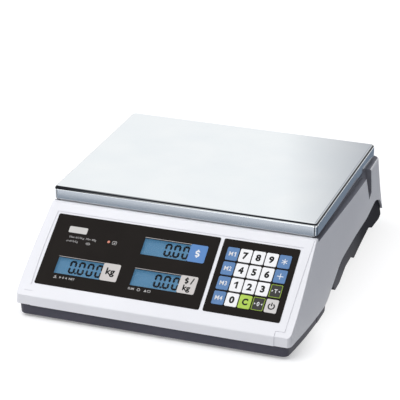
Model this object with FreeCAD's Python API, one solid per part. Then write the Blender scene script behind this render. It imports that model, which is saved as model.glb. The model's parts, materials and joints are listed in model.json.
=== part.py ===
import FreeCAD, Part
import math
import os
from FreeCAD import Placement, Rotation, Vector

# Retail price scale.  Millimetres, +Z up, the operator stands at -Y.  The origin lies on the
# surface that the feet stand on, below the middle of the body.

# ---------------------------------------------------------------- driving dimensions
# Body
body_depth = 381.0          # nose to tail, over both housings
body_width = 330.0          # at the belly of the side walls
belly_run = 90.5            # nose to the belly, where the side walls are widest
waist_run = 160.5           # tail to the waist, where the deck is widest
low_tucks = (7.0, 0.0, 3.0, 0.5)     # side wall inside the belly, at the surface: nose, belly, waist, tail
deck_tucks = (9.0, 9.5, 5.5, 7.0)    # the same at deck height
deck_z = 97.5               # deck under the platter
crease_z = 28.1             # crease between the nose lip and the operator face
face_angle = 34.8           # slope of the operator face
lip_lean = 7.0              # nose lip and tail wall, out of plumb
tail_lean = 16.0
wall = 2.5                  # moulded wall of both housings
nest_clear = 0.3            # lower housing inside the upper one
nest_height = 7.0           # how far the lower housing rises into the upper one
nose_corner = 7.0           # vertical corners at the nose and the tail
tail_corner = 9.0
face_edge = 2.5             # rounding round the face and the deck
seam_nose_z = 17.2          # parting line: at the nose, under the belly, along the sides, at the tail
seam_belly_z = 13.5
seam_side_z = 39.0
seam_arch_z = 46.5
seam_tail_z = 20.0
floor_z = 4.0               # underside of the lower housing
nose_lean = 1.5             # inward lean of the lower housing round the nose, at the surface
grip_width = 27.0           # hand-grip strip under each side
grip_z = 27.0               # roof of the hand grip
lobe_z = 8.0                # lower edge of the side strips behind the grip: lobe, sill, step and rear leg
sill_z = 15.0
step_z = 7.0
leg_z = 11.0
leg_heel = 16.0             # heel of the rear leg that rises to the tail
cheek_step = 0.8            # cheeks lie below the middle of the face and lip
cheek_width = 25.0          # belly to the step across the lip
cheek_jog = 6.8             # jog of the step above the crease
cheek_bead = 2.0            # step of the cheek inside the edge of the face, and its bow
cheek_bow = 2.2
cheek_toe = 3.5             # lean of the bead from top to jog

# Drain step of the deck under the platter's rim, and its spout down the side wall
drain_width = 6.0
drain_depth = 3.5
drain_front_gap = 5.3       # from the top edge of the face
drain_back_gap = 47.6       # from the back edge of the deck
spout_width = 18.0
spout_depth = 7.0
spout_lean = 9.0
spout_foot_z = 60.0
spout_toe = 6.0

# Platter, its carrier and the load cell
platter_side_gap = 10.0     # platter inside the belly, and from the ends of the deck
platter_front_gap = 3.3
platter_back_gap = 6.6
platter_rim = 16.2
platter_clear = 1.3         # rim over the deck
platter_sheet = 0.8
platter_corner = 5.0
platter_edge = 4.0
platter_hem = 2.2           # inward turn of the rim's lower edge
pad_diameter = 16.0
pad_height = 5.2
pad_seat = 1.0
pad_clear = 0.2
pad_edge = 0.8
pad_flats = 24
arm_height = 7.0
arm_width = 26.0
arm_tip = 18.0              # width of an arm at its ends
arm_end = 12.0              # arm beyond the middle of its pad
arm_shoulder = 40.0
arm_corner = 4.0
pad_side_inset = 37.0       # middle of a pad from the edges of the platter
pad_end_inset = 35.0
hub_width = 34.0
hub_depth = 28.0
hub_pocket = 3.0
deck_hole_clear = 5.0
cell_length = 130.0
cell_width = 30.0
cell_height = 22.0
cell_drop = 53.5            # deck to the underside of the cell
cell_screw_pitch = 15.0     # also the middle of a screw pair from the end of the cell
cell_screw_clear = 0.2
cell_screw_grip = 10.0      # thread in the cell
cell_screw_end = 2.0        # hole beyond the thread
cell_screw_well = 10.6
carrier_screw_sink = 4.5
cell_eye = 15.0             # joined bores of the cell, their spacing and the slot between them
cell_eye_pitch = 24.0
cell_slot = 6.0
cell_screw = 6.0
base_width = 64.0
base_depth = 46.0
base_sheet = 5.0
base_corner = 5.0
base_rib = 6.0              # rib under the fixed end: thickness, run over the flange and at its top
base_rib_run = 7.0
base_rib_top = 6.0
base_seat = 12.0            # seat of the screw heads below the cell

# Operator face
overlay_sheet = 0.5
recess_depth = 0.8
recess_margin = 2.6
recess_bow = 1.6
overlay_top = 13.5          # from the top edge of the face, down the slope
overlay_foot = 16.7         # from the crease, up the slope
overlay_side = 23.4         # from the belly
overlay_strip = 4.1         # strip of housing between the two overlays
overlay_corner = 2.0
keypad_width = 86.6
window_left = 18.0          # film outside and between the windows of the display overlay
window_gap = 36.0
window_right = 30.5
window_top = 14.95
window_foot = 16.35
window_rise = 19.1
pane_sheet = 1.0
pane_margin = 1.5
lcd_gap = 2.2               # pane to glass
lcd_glass = 2.8
lcd_margin = 3.0
backlight_height = 3.0
backlight_margin = 0.5
board = 1.6
board_margin = 6.0
board_hole = 2.8
board_screw = 2.2
board_screw_length = 4.5
board_screw_end = 1.0
board_screw_inset = 4.0
board_post = 5.0
board_post_bore = 2.4
fit_gap = 0.3

# Keys
key_side = 6.95             # keypad overlay outside the keys
key_end = 10.0
key_gap_x = 1.3
key_gap_v = 2.2
key_corner = 1.0
key_proud = 0.4             # above the overlay
key_travel = 0.5
key_flange = 1.0
key_flange_out_x = 0.4
key_flange_out_v = 0.6
frame_lip = 1.8
frame_margin = 2.8
frame_flange = 2.5
frame_notch = 6.0
keypad_board_side = 1.5
keypad_board_end = 1.0
dome_diameter = 8.0
dome_taper = 2.8
dome_height = 1.9
dome_sheet = 0.8
dome_side = 9.0             # dome sheet inside the keypad board
dome_end = 7.0

# Customer display in the tail wall
customer_side = 47.0        # from the belly
customer_end = 16.0         # film outside the outer windows
customer_margin = 6.75      # film above and below the windows
customer_drop = 35.5        # deck to the middle of the display
customer_corner = 3.0
customer_board_over = 1.0   # board beyond the film

# Feet
foot_side = 43.0            # middle of a foot from the belly, and from the nose and the tail
foot_end = 27.5
foot_pad_diameter = 28.0
foot_pad_height = 6.5
foot_pad_edge = 1.5
foot_pad_flats = 24
foot_stud = 8.0
foot_stud_length = 21.0
foot_slot = 1.2
foot_slot_depth = 2.0
foot_boss = 15.0
foot_boss_roof = 2.0
foot_socket = 3.0
foot_well = 1.0             # recess round the pad

# Battery and its door
battery_side = 78.0         # middle of the battery from the belly and from the tail
battery_end = 104.5
battery_width = 70.0
battery_length = 101.0
battery_height = 47.0
battery_corner = 2.0
battery_clear = 1.0
battery_tab = 6.0
battery_tab_pitch = 40.0
battery_tab_drop = 8.0
battery_tab_sheet = 0.8
door_sheet = 2.0
door_slide = 12.0
door_margin = 5.0
door_tongue = 1.6
door_tongue_inset = 8.0
door_ring = 2.0
door_rib_width = 28.0
door_rib_pitch = 4.0
door_rib_depth = 0.8

# Main board, posts, screws and small parts
main_board_side = 41.0      # from the belly and from the load cell
main_board_inner_x = 36.0
main_board_length = 120.0
main_board_end = 85.5       # from the tail
main_board_z = 20.0
# Middle of each block and can as shares of the board from its middle, then width, depth and height
# of a block, diameter and height of a can
main_board_blocks = ((-0.136, 0.117, 16, 16, 2.6), (0.159, 0.167, 11, 11, 2.2), (-0.273, -0.283, 20, 6, 9),
                     (0.045, -0.283, 20, 6, 9), (0.341, -0.167, 12, 9, 11))
main_board_cans = ((-0.341, 0.35, 10, 14), (-0.182, 0.35, 10, 14), (0.318, 0.317, 10, 14))
standoff = 7.0
post = 9.0
post_side = 70.0            # outer posts from the belly, front and rear posts from the nose and the tail
post_front_run = 10.5
post_rear_run = 38.5
screw = 3.4
screw_sink = 4.0            # seat of its head above the floor
screw_grip = 10.0           # thread in the upper post
screw_end = 2.0             # hole beyond the thread
screw_well = 1.0            # well round the head
screw_clear = 0.1
cap_head = 1.6              # screw head as a multiple of the thread
seat_z = 14.0               # where the posts of the two housings meet
inlet_side = 105.0          # from the belly
inlet_z = 12.5
inlet_barrel = 8.0
inlet_neck = 8.0            # length of the barrel, and the housing behind it
inlet_bore = 5.6
inlet_depth = 11.0
inlet_pin = 2.1
inlet_pin_length = 10.0
inlet_length = 14.0
inlet_width = 12.0
inlet_set = 6.0
vial_side = 73.0            # from the belly
vial_run = 29.0             # ahead of the middle of the platter
vial_diameter = 16.0
vial_height = 9.0
vial_flange = 1.6
vial_cup = 12.4

# Stations of the wavy lines along the sides, as shares of the depth from the middle
parting_shares = (-0.189, -0.0105, 0.1575, 0.2887, 0.3937, 0.4462, 0.4829)
grip_shares = (-0.1837, -0.1522, -0.0971, -0.0682, -0.0105, 0.0682, 0.1339, 0.1732, 0.3491, 0.3858)

# ---------------------------------------------------------------- worked-out places
half_width = body_width / 2
nose_y = -body_depth / 2
tail_y = body_depth / 2
belly_y = nose_y + belly_run
waist_y = tail_y - waist_run
slope = math.radians(face_angle)
face_length = (deck_z - crease_z) / math.sin(slope)
crease_y = nose_y + (crease_z - seam_nose_z) * math.tan(math.radians(lip_lean))
face_top_y = crease_y + face_length * math.cos(slope)
tail_run = math.tan(math.radians(tail_lean))
nest_inset = wall + nest_clear
deck_back_y = tail_y + nest_inset / math.cos(math.radians(tail_lean)) - (deck_z - floor_z) * tail_run
cheek_inner_x = half_width - cheek_width
drain_front_y = face_top_y + drain_front_gap
drain_back_y = deck_back_y - drain_back_gap

platter_top_z = deck_z + platter_clear + platter_rim
platter_under_z = platter_top_z - platter_sheet
platter_foot_z = platter_top_z - platter_rim
platter_front_y = face_top_y + platter_front_gap
platter_back_y = deck_back_y - platter_back_gap
platter_width = body_width - 2 * platter_side_gap
platter_depth = platter_back_y - platter_front_y
platter_y = (platter_front_y + platter_back_y) / 2
pad_x = platter_width / 2 - pad_side_inset
pad_y = platter_depth / 2 - pad_end_inset
pad_top_z = platter_under_z
arm_top_z = pad_top_z - pad_height + pad_seat
arm_foot_z = arm_top_z - arm_height
cell_z = deck_z - cell_drop
cell_top_z = cell_z + cell_height
carrier_seat_z = arm_top_z - carrier_screw_sink
free_end_y = platter_y + cell_length / 2 - cell_screw_pitch
fixed_end_y = 2 * platter_y - free_end_y
inner_floor_z = floor_z + wall
grip_x = half_width - grip_width
screw_seat_z = floor_z + screw_sink
board_thread = board_screw_length - board + board_screw_end

overlay_height = face_length - overlay_top - overlay_foot
overlay_half = half_width - overlay_side
overlay_v = -(overlay_top + overlay_height / 2)
display_width = 2 * overlay_half - keypad_width - overlay_strip
display_x = display_width / 2 - overlay_half
keypad_x = overlay_half - keypad_width / 2
window_width = (display_width - window_left - window_gap - window_right) / 2
window_height = (overlay_height - window_top - window_rise - window_foot) / 2
key_pitch_x = (keypad_width - 2 * key_side + key_gap_x) / 5
key_pitch_v = (overlay_height - 2 * key_end + key_gap_v) / 4
key_width = key_pitch_x - key_gap_x
key_height = key_pitch_v - key_gap_v
customer_width = body_width - 2 * customer_side
customer_height = window_height + 2 * customer_margin
customer_pitch = (customer_width - window_width) / 2 - customer_end
customer_z = deck_z - customer_drop

foot_x = half_width - foot_side
foot_y = tail_y - foot_end
battery_x = battery_side - half_width
battery_y = tail_y - battery_end
main_board_width = half_width - main_board_side - main_board_inner_x
main_board_x = main_board_inner_x + main_board_width / 2
main_board_y = tail_y - main_board_end - main_board_length / 2
post_x = half_width - post_side
post_front_y = nose_y + post_front_run
post_rear_y = tail_y - post_rear_run
inlet_x = half_width - inlet_side
vial_x = half_width - vial_side
vial_y = platter_y - vial_run

face_frame = Placement(Vector(0, face_top_y, deck_z), Rotation(Vector(1, 0, 0), face_angle))
tail_frame = Placement(
    Vector(0, deck_back_y + (deck_z - customer_z) * tail_run, customer_z),
    Rotation(Vector(0, 0, 1), 180).multiply(Rotation(Vector(1, 0, 0), 90 - tail_lean)),
)


# ---------------------------------------------------------------- small helpers
def save(name, shape):
    shape.exportStep(f"parts/{name}.step")


def placed(shape, frame):
    copy = shape.copy()
    copy.Placement = frame.multiply(copy.Placement)
    return copy


def block(x0, x1, y0, y1, z0, z1):
    return Part.makeBox(x1 - x0, y1 - y0, z1 - z0, Vector(x0, y0, z0))


def rod(diameter, z0, z1, x=0.0, y=0.0):
    return Part.makeCylinder(diameter / 2, z1 - z0, Vector(x, y, z0))


def ring(across, z, x, y, sides=8):
    """Even polygon; across is measured over its flats."""
    count = round(sides)
    reach = across / 2 / math.cos(math.pi / count)
    turns = [math.pi * (2 * i + 1) / count for i in range(count)]
    corners = [Vector(x + reach * math.cos(turn), y + reach * math.sin(turn), z) for turn in turns]
    return Part.makePolygon(corners + corners[:1])


def flats(across, z0, z1, x=0.0, y=0.0, sides=8):
    """Upright post, pin or bore with flat sides."""
    return Part.Face(ring(across, z0, x, y, sides)).extrude(Vector(0, 0, z1 - z0))


def block_at(x, y, width, depth, z0, z1):
    return block(x - width / 2, x + width / 2, y - depth / 2, y + depth / 2, z0, z1)


def rounded(points, at):
    """Closed wire through (a, b, radius) corners; at(a, b) gives each point in space."""
    edges = []
    ends = []
    count = len(points)
    for i in range(count):
        ax, ay, _ = points[i - 1]
        bx, by, radius = points[i]
        cx, cy, _ = points[(i + 1) % count]
        into = Vector(ax - bx, ay - by, 0).normalize()
        out = Vector(cx - bx, cy - by, 0).normalize()
        half = into.getAngle(out) / 2
        if radius == 0 or abs(half - math.pi / 2) < 1e-6:
            ends.append((at(bx, by), at(bx, by)))
            continue
        reach = radius / math.tan(half)
        middle = (into + out).normalize() * (radius / math.sin(half) - radius)
        start, stop = at(bx + into.x * reach, by + into.y * reach), at(bx + out.x * reach, by + out.y * reach)
        edges.append(Part.Arc(start, at(bx + middle.x, by + middle.y), stop).toShape())
        ends.append((start, stop))
    for i in range(count):
        if ends[i - 1][1].distanceToPoint(ends[i][0]) > 1e-6:
            edges.append(Part.LineSegment(ends[i - 1][1], ends[i][0]).toShape())
    return Part.Wire(Part.__sortEdges__(edges))


def plate(width, height, z0, z1, radius, x=0.0, y=0.0):
    """Flat plate with rounded corners, its thickness along Z."""
    corners = [(x - width / 2, y - height / 2, radius), (x + width / 2, y - height / 2, radius),
               (x + width / 2, y + height / 2, radius), (x - width / 2, y + height / 2, radius)]
    wire = rounded(corners, lambda a, b: Vector(a, b, z0))
    return Part.Face(wire).extrude(Vector(0, 0, z1 - z0))


def trimmed(width, height, z0, z1, cut, x=0.0, y=0.0):
    """Flat plate with its corners cut off."""
    a, b = width / 2, height / 2
    corners = [(a, cut - b), (a, b - cut), (a - cut, b), (cut - a, b),
               (-a, b - cut), (-a, cut - b), (cut - a, -b), (a - cut, -b), (a, cut - b)]
    ring = Part.makePolygon([Vector(x + p, y + q, z0) for p, q in corners])
    return Part.Face(ring).extrude(Vector(0, 0, z1 - z0))


def side_cut(points, x0, x1):
    """Prism of a side outline of (y, z, radius) corners, from x0 to x1."""
    wire = rounded(points, lambda a, b: Vector(x0, a, b))
    return Part.Face(wire).extrude(Vector(x1 - x0, 0, 0))


def mirrored(shape):
    return shape.mirror(Vector(0, 0, 0), Vector(1, 0, 0))


def both_sides(shape):
    return Part.makeCompound([shape, mirrored(shape)])


def edges_where(shape, test):
    return [edge for edge in shape.Edges if test(edge)]


# ---------------------------------------------------------------- body form
def plan_wire(z, inset, leans=(0, 0, 0, 0), end_inset=-4.0):
    """Barrel-shaped plan of the body at one height, leans narrowing it station by station."""
    ys = (nose_y + end_inset, belly_y, waist_y, tail_y + 4)
    reach = z / deck_z
    right = [Vector(body_width / 2 - low - (high - low) * reach - inset - lean, y, z)
             for y, low, high, lean in zip(ys, low_tucks, deck_tucks, leans)]
    left = [Vector(-p.x, p.y, p.z) for p in reversed(right)]
    edges = []
    for points in (right, left):
        curve = Part.BSplineCurve()
        curve.interpolate(points)
        edges.append(curve.toShape())
    edges.append(Part.LineSegment(right[-1], left[0]).toShape())
    edges.append(Part.LineSegment(left[-1], right[0]).toShape())
    return Part.Wire(Part.__sortEdges__(edges))


def profile(inset):
    """Side outline: lip, operator face, deck and tail wall, moved inwards by inset."""
    foot = -10.0
    corners = [Vector(crease_y - (crease_z - foot) * math.tan(math.radians(lip_lean)), foot, 0),
               Vector(crease_y, crease_z, 0), Vector(face_top_y, deck_z, 0), Vector(deck_back_y, deck_z, 0),
               Vector(deck_back_y + (deck_z - foot) * tail_run, foot, 0)]
    lines = []
    for start, end in zip(corners, corners[1:]):
        along = (end - start).normalize()
        inward = Vector(along.y, -along.x, 0)
        lines.append((start + inward * inset, along))
    points = [lines[0][0] - lines[0][1] * 5]
    for (p, d), (q, e) in zip(lines, lines[1:]):
        step = ((q - p).cross(e)).z / (d.cross(e)).z
        points.append(p + d * step)
    points.append(lines[-1][0] + lines[-1][1] * (deck_z - foot + 10))
    return [(p.x, p.y, 0) for p in points]


def barrel(inset):
    """The leaning side walls without the profile, moved inwards by inset."""
    return Part.makeLoft([plan_wire(-5.0, inset), plan_wire(deck_z + 5.0, inset)], True, True)


def body(inset, flat_corners=False):
    """The body's form, moved inwards by inset, its upright corners rounded or, inside, cut flat."""
    form = barrel(inset).common(side_cut(profile(inset), -body_width, body_width))
    nose_end, tail_end = crease_y + 2 * inset + 1, deck_back_y - 2 * inset - 1
    at_nose = edges_where(form, lambda e: e.BoundBox.YMax < nose_end and upright(e))
    nose_radius, tail_radius = (max(corner - inset, 0.5) for corner in (nose_corner, tail_corner))
    form = cornered(form, nose_radius, at_nose, flat_corners)
    at_tail = edges_where(form, lambda e: e.BoundBox.YMin > tail_end and upright(e))
    return cornered(form, tail_radius, at_tail, flat_corners)


def cornered(form, radius, edges, flat):
    """Rounds the edges, or cuts them flat along the tangent at the middle of the rounding."""
    return form.makeChamfer((2 - math.sqrt(2)) * radius, edges) if flat else form.makeFillet(radius, edges)


def upright(edge):
    return edge.BoundBox.ZLength > crease_z / 3 and edge.BoundBox.XLength < edge.BoundBox.ZLength


def parting(raise_by, close_z):
    """Outline between the parting line of the housings and a far level."""
    far = body_depth
    heights = (seam_belly_z, seam_side_z - 2.5, seam_side_z, seam_side_z, seam_arch_z, seam_side_z,
               seam_tail_z + 1)
    bends = (60, 60, 0, 30, 22, 22, 4)
    line = [(-far, seam_nose_z, 0), (nose_y + 20, seam_nose_z, 60)]
    line += [(share * body_depth, z, bend) for share, z, bend in zip(parting_shares, heights, bends)]
    line.append((far, seam_tail_z, 0))
    return [(y, z + raise_by, bend) for y, z, bend in line] + [(far, close_z, 0), (-far, close_z, 0)]


def grip_line(raise_by):
    """Outline below the side strips of the lower housing: hand grip, sill, step and rear leg."""
    far = body_depth
    heights = (floor_z, grip_z, grip_z, lobe_z, lobe_z, sill_z, sill_z, step_z, sill_z + 2, leg_z)
    bends = (6, 8, 8, 6, 12, 12, 3, 5, 6, 8)
    line = [(-far, floor_z, 0)]
    line += [(share * body_depth, z, bend) for share, z, bend in zip(grip_shares, heights, bends)]
    line += [(tail_y - leg_heel, leg_z, 8), (tail_y, seam_tail_z - 1, 0), (far, seam_tail_z - 1, 0)]
    return [(y, z + raise_by, bend) for y, z, bend in line] + [(far, -deck_z, 0), (-far, -deck_z, 0)]


# ---------------------------------------------------------------- what the housings share
def post_places():
    return [(x, y) for y in (post_front_y, post_rear_y) for x in (-post_x, 0.0, post_x)]


def foot_places():
    return {f"{end}_{side}": (sx * foot_x, sy * foot_y)
            for end, sy in (("front", -1), ("rear", 1)) for side, sx in (("left", -1), ("right", 1))}


left_column = window_left + window_width / 2 - overlay_half
right_column = display_width - overlay_half - window_right - window_width / 2
low_row = window_foot + window_height / 2 - overlay_top - overlay_height
high_row = -overlay_top - window_top - window_height / 2
windows = [(left_column, low_row), (right_column, low_row), (right_column, high_row)]
customer_windows = [(step * customer_pitch, 0.0) for step in (-1, 0, 1)]

key_names = (("key_m1", "key_7", "key_8", "key_9", "key_multiply"),
             ("key_m2", "key_4", "key_5", "key_6", "key_plus"),
             ("key_m3", "key_1", "key_2", "key_3", "key_tare"),
             ("key_m4", "key_0", "key_clear", "key_zero", "key_power"))


def key_places():
    places = {}
    for row, names in enumerate(key_names):
        for column, name in enumerate(names):
            x = keypad_x + (column - 2) * key_pitch_x
            v = overlay_v - (row - 1.5) * key_pitch_v
            places[name] = (x, v)
    return places


frame_inner_width = 5 * key_pitch_x - key_gap_x + 2 * frame_margin
frame_inner_height = 4 * key_pitch_v - key_gap_v + 2 * frame_margin
glass_w = -recess_depth - pane_sheet - lcd_gap
light_w = glass_w - lcd_glass
board_w = light_w - backlight_height
key_stop_w = -wall - frame_lip
dome_top_w = key_stop_w - fit_gap - key_flange - key_travel - screw_clear
keypad_board_w = dome_top_w - dome_height - dome_sheet


def board_corners(x, v, width, height):
    a, b = width / 2 - board_screw_inset, height / 2 - board_screw_inset
    return [(x + sx * a, v + sv * b) for sx in (-1, 1) for sv in (-1, 1)]


display_board = (display_x, overlay_v, display_width - board_margin, overlay_height - 2 * board_margin)
keypad_board = (keypad_x, overlay_v, keypad_width - 2 * keypad_board_side,
                overlay_height - 2 * keypad_board_end)
customer_board = (0.0, 0.0, customer_width, customer_height + 2 * customer_board_over)
main_board_outline = (main_board_x, main_board_y, main_board_width, main_board_length)


# ---------------------------------------------------------------- upper housing
def cheek_cutter():
    """Slab that lowers one cheek of the face and of the lip by one step."""
    bead_top = half_width - deck_tucks[1] - cheek_bead
    bead_foot = bead_top - cheek_toe
    top_v, jog_v, foot_v = drain_depth, cheek_jog - face_length, -face_length - crease_z / 2
    bead = Part.Arc(Vector(bead_top, top_v, 0), Vector(bead_top - cheek_bow, jog_v / 2, 0),
                    Vector(bead_foot, jog_v, 0))
    edges = [bead.toShape()]
    corners = [Vector(bead_foot, jog_v, 0), Vector(cheek_inner_x, jog_v, 0), Vector(cheek_inner_x, foot_v, 0),
               Vector(body_width, foot_v, 0), Vector(body_width, top_v, 0), Vector(bead_top, top_v, 0)]
    edges += [Part.LineSegment(a, b).toShape() for a, b in zip(corners, corners[1:])]
    slab = Part.Face(Part.Wire(Part.__sortEdges__(edges))).extrude(Vector(0, 0, crease_z / 2))
    face_part = placed(slab.translated(Vector(0, 0, -cheek_step)), face_frame)
    return face_part.fuse(lip_slab(cheek_inner_x, crease_z))


def lip_slab(x0, top_z):
    """Slab in front of the lip, one step deep, outwards from x0."""
    lean = math.tan(math.radians(lip_lean))
    points = [(crease_y + cheek_step + (crease_z - top_z) * -lean, top_z, 0), (crease_y - 20, top_z, 0),
              (crease_y - 20, -5, 0), (crease_y + cheek_step - (crease_z + 5) * lean, -5, 0)]
    return side_cut(points, x0, body_width)


def face_recess():
    """Shallow recess round both overlays, its ends bowed outwards."""
    half_w = overlay_half + recess_margin
    top = -overlay_top + recess_margin
    foot = -overlay_top - overlay_height - recess_margin
    edges = [Part.Arc(Vector(side * half_w, top, 0), Vector(side * (half_w + recess_bow), overlay_v, 0),
                      Vector(side * half_w, foot, 0)).toShape() for side in (-1, 1)]
    edges += [Part.LineSegment(Vector(-half_w, v, 0), Vector(half_w, v, 0)).toShape() for v in (top, foot)]
    floor = Part.Face(Part.Wire(Part.__sortEdges__(edges)))
    return floor.extrude(Vector(0, 0, 5)).translated(Vector(0, 0, -recess_depth))


def drain(grow):
    """Step along one side of the deck and the spout that it runs into.  Grown by the wall, the
    backing behind them."""
    front, back, foot_z = drain_front_y - grow, drain_back_y + grow, deck_z - drain_depth - grow
    top_z = deck_z + platter_rim
    step = side_cut([(front, top_z, 0), (front + drain_depth, foot_z, 0), (back, foot_z, 0),
                     (back, top_z, 0)], 0, body_width)
    throat = drain_back_y - spout_width - grow
    spout = side_cut([(throat, top_z, 0), (throat, foot_z, 0), (drain_back_y - grow, spout_foot_z - grow, 0),
                      (back + spout_lean, spout_foot_z + spout_toe - grow, 0), (back, top_z, 0)],
                     0, body_width)
    return step.cut(barrel(drain_width + grow)).fuse(spout.cut(barrel(spout_depth + grow)))


def upper_form():
    """Outer form of the upper housing with its edges rounded."""
    form = body(0.0)
    return form.makeFillet(face_edge, edges_where(form, lambda e: e.BoundBox.ZMin > crease_z - 0.5
                                                  and e.BoundBox.ZMax > crease_z))


def upper_housing():
    form = upper_form()
    cavity = body(wall, True)
    cavity = cavity.cut(both_sides(drain(wall)))
    shell = form.cut(both_sides(cheek_cutter())).cut(both_sides(drain(0.0)))
    shell = shell.cut(cavity)
    shell = shell.cut(side_cut(parting(0.0, -deck_z), -body_width, body_width))
    shell = shell.cut(placed(face_recess(), face_frame))
    for hole in window_cuts(windows, pane_margin + fit_gap, -3 * wall, wall):
        shell = shell.cut(placed(hole, face_frame))
    keypad_hole = plate(frame_inner_width, frame_inner_height, -3 * wall, wall, 0.0, keypad_x, overlay_v)
    shell = shell.cut(placed(keypad_hole, face_frame))
    customer_recess = plate(customer_width, customer_height, -recess_depth, wall, customer_corner)
    shell = shell.cut(placed(customer_recess, tail_frame))
    for hole in window_cuts(customer_windows, pane_margin + fit_gap, -3 * wall, wall):
        shell = shell.cut(placed(hole, tail_frame))
    hub_hole = trimmed(hub_width + 2 * deck_hole_clear, hub_depth + 2 * deck_hole_clear,
                       deck_z - 3 * wall, deck_z + wall, deck_hole_clear, 0.0, free_end_y)
    shell = shell.cut(hub_hole)
    shell = shell.cut(rod(vial_cup + 2 * fit_gap, deck_z - 3 * wall, deck_z + wall, vial_x, vial_y))
    inside = body(wall / 2, True)
    for x, y in post_places():
        pillar = flats(post, seat_z, deck_z, x, y).common(inside)
        thread_top = seat_z + screw_grip + screw_end
        shell = shell.fuse(pillar.cut(flats(screw + 2 * screw_clear, seat_z, thread_top, x, y)))
    for pillar in face_posts(display_board, board_w) + face_posts(keypad_board, keypad_board_w):
        shell = shell.fuse(placed(pillar, face_frame))
    for pillar in face_posts(customer_board, board_w):
        shell = shell.fuse(placed(pillar, tail_frame))
    return shell.removeSplitter()


def face_posts(outline, foot_w):
    """Posts from the inside of a face to the corners of the board behind it."""
    return [flats(board_post, foot_w, -wall + 0.2, x, v).cut(
        flats(board_post_bore, foot_w, foot_w + board_thread, x, v)) for x, v in board_corners(*outline)]


# ---------------------------------------------------------------- lower housing
def lower_solid(inset):
    return body(inset).cut(side_cut(parting(nest_height, 2 * deck_z), -body_width, body_width))


def strip(raise_by, x0):
    return both_sides(side_cut(grip_line(raise_by), x0, body_width))


door_width = battery_width + 2 * (fit_gap + battery_clear)
door_length = battery_length + 2 * (fit_gap + battery_clear)


def door_places():
    """Through hole, pocket and tongue grooves of the battery door, cut from the floor."""
    hole = trimmed(door_width, door_length, floor_z - 1, floor_z + battery_height, battery_clear,
                   battery_x, battery_y)
    pocket_width = door_width + 2 * door_margin + 2 * fit_gap
    y0 = battery_y - door_length / 2 - door_margin - fit_gap - door_slide
    y1 = battery_y + door_length / 2 + door_margin + fit_gap
    x0, x1 = battery_x - pocket_width / 2, battery_x + pocket_width / 2
    pocket = block(x0, x1, y0, y1, floor_z - 1, floor_z + door_sheet + fit_gap)
    groove = block(x0 - door_tongue - fit_gap, x1 + door_tongue + fit_gap, y0, y1,
                   floor_z + door_sheet / 2 - fit_gap, floor_z + door_sheet + fit_gap)
    return hole, pocket, groove


def nose_bevel(inset):
    """What the inward lean of the nose takes off below the parting line."""
    leans = (nose_lean, nose_lean * 0.4, -1.0, -1.0)
    raised = tuple(-lean for lean in leans[:2]) + (-1.0, -1.0)
    bevel = Part.makeLoft([plan_wire(0.0, inset, leans, inset + nose_lean),
                           plan_wire(2 * seam_nose_z, inset, raised, inset - nose_lean)], True, True)
    front = nose_y + inset + nose_lean + 1
    bevel = bevel.makeFillet(nose_corner, edges_where(bevel, lambda e: e.BoundBox.YMax < front and upright(e)))
    slab = block(-body_width, body_width, nose_y - 20, belly_y, 0.0, seam_nose_z)
    return slab.cut(bevel)


def lower_housing():
    inset = nest_inset
    outer = lower_solid(inset).cut(nose_bevel(inset))
    outer = outer.common(block_at(0, 0, 2 * body_width, 2 * body_depth, floor_z, 2 * deck_z))
    outer = outer.cut(strip(0.0, grip_x))
    cavity = body(inset + wall, True)
    cavity = cavity.common(block_at(0, 0, 2 * body_width, 2 * body_depth, inner_floor_z, 2 * deck_z))
    cavity = cavity.cut(strip(wall, grip_x - wall)).cut(nose_bevel(inset + wall))
    hole, pocket, groove = door_places()
    tray = outer.cut(cavity)
    curb = trimmed(door_width + 2 * door_margin + 4 * door_tongue + 2 * door_ring,
                   door_length + 2 * door_margin + door_slide + 3 * door_ring, inner_floor_z - 0.5,
                   inner_floor_z + door_ring, door_ring, battery_x, battery_y - door_slide / 2)
    tray = tray.fuse(curb).cut(hole).cut(pocket).cut(groove)
    for x, y in post_places():
        tray = tray.fuse(flats(post, floor_z, seat_z, x, y))
        tray = tray.cut(flats(cap_head * screw + 2 * screw_well, floor_z - 1, screw_seat_z, x, y))
        tray = tray.cut(flats(screw + 2 * screw_clear, floor_z, seat_z + 1, x, y))
    stud_top = foot_pad_height - foot_socket + foot_stud_length + 1.0
    well, well_top = foot_pad_diameter + 2 * foot_well, foot_pad_height + fit_gap
    for x, y in foot_places().values():
        cup = flats(well + 2 * wall, floor_z, well_top + wall, x, y, foot_pad_flats)
        tray = tray.fuse(cup.common(outer))
        tray = tray.fuse(flats(foot_boss, well_top, stud_top + foot_boss_roof, x, y, 16))
        tray = tray.cut(flats(well, floor_z - 1, well_top, x, y, foot_pad_flats))
        tray = tray.cut(rod(foot_stud + 2 * fit_gap, floor_z - 1, stud_top, x, y))
    for x, y in board_corners(*main_board_outline):
        tray = tray.fuse(flats(standoff, inner_floor_z - 0.5, main_board_z, x, y).cut(
            flats(board_post_bore, main_board_z - board_thread, main_board_z, x, y)))
    barrel_hole = Part.makeCylinder(inlet_barrel / 2 + screw_clear, body_depth,
                                    Vector(inlet_x, platter_back_y, inlet_z), Vector(0, 1, 0))
    return tray.cut(barrel_hole).removeSplitter()


# ---------------------------------------------------------------- face parts
def overlay_with(width, height, holes, x, v, radius=overlay_corner):
    sheet = plate(width, height, -recess_depth, -recess_depth + overlay_sheet, radius, x, v)
    for hole in holes:
        sheet = sheet.cut(hole)
    return sheet


def window_cuts(places, grow, z0, z1):
    return [plate(window_width + 2 * grow, window_height + 2 * grow, z0, z1, 0.0, x, v) for x, v in places]


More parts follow.
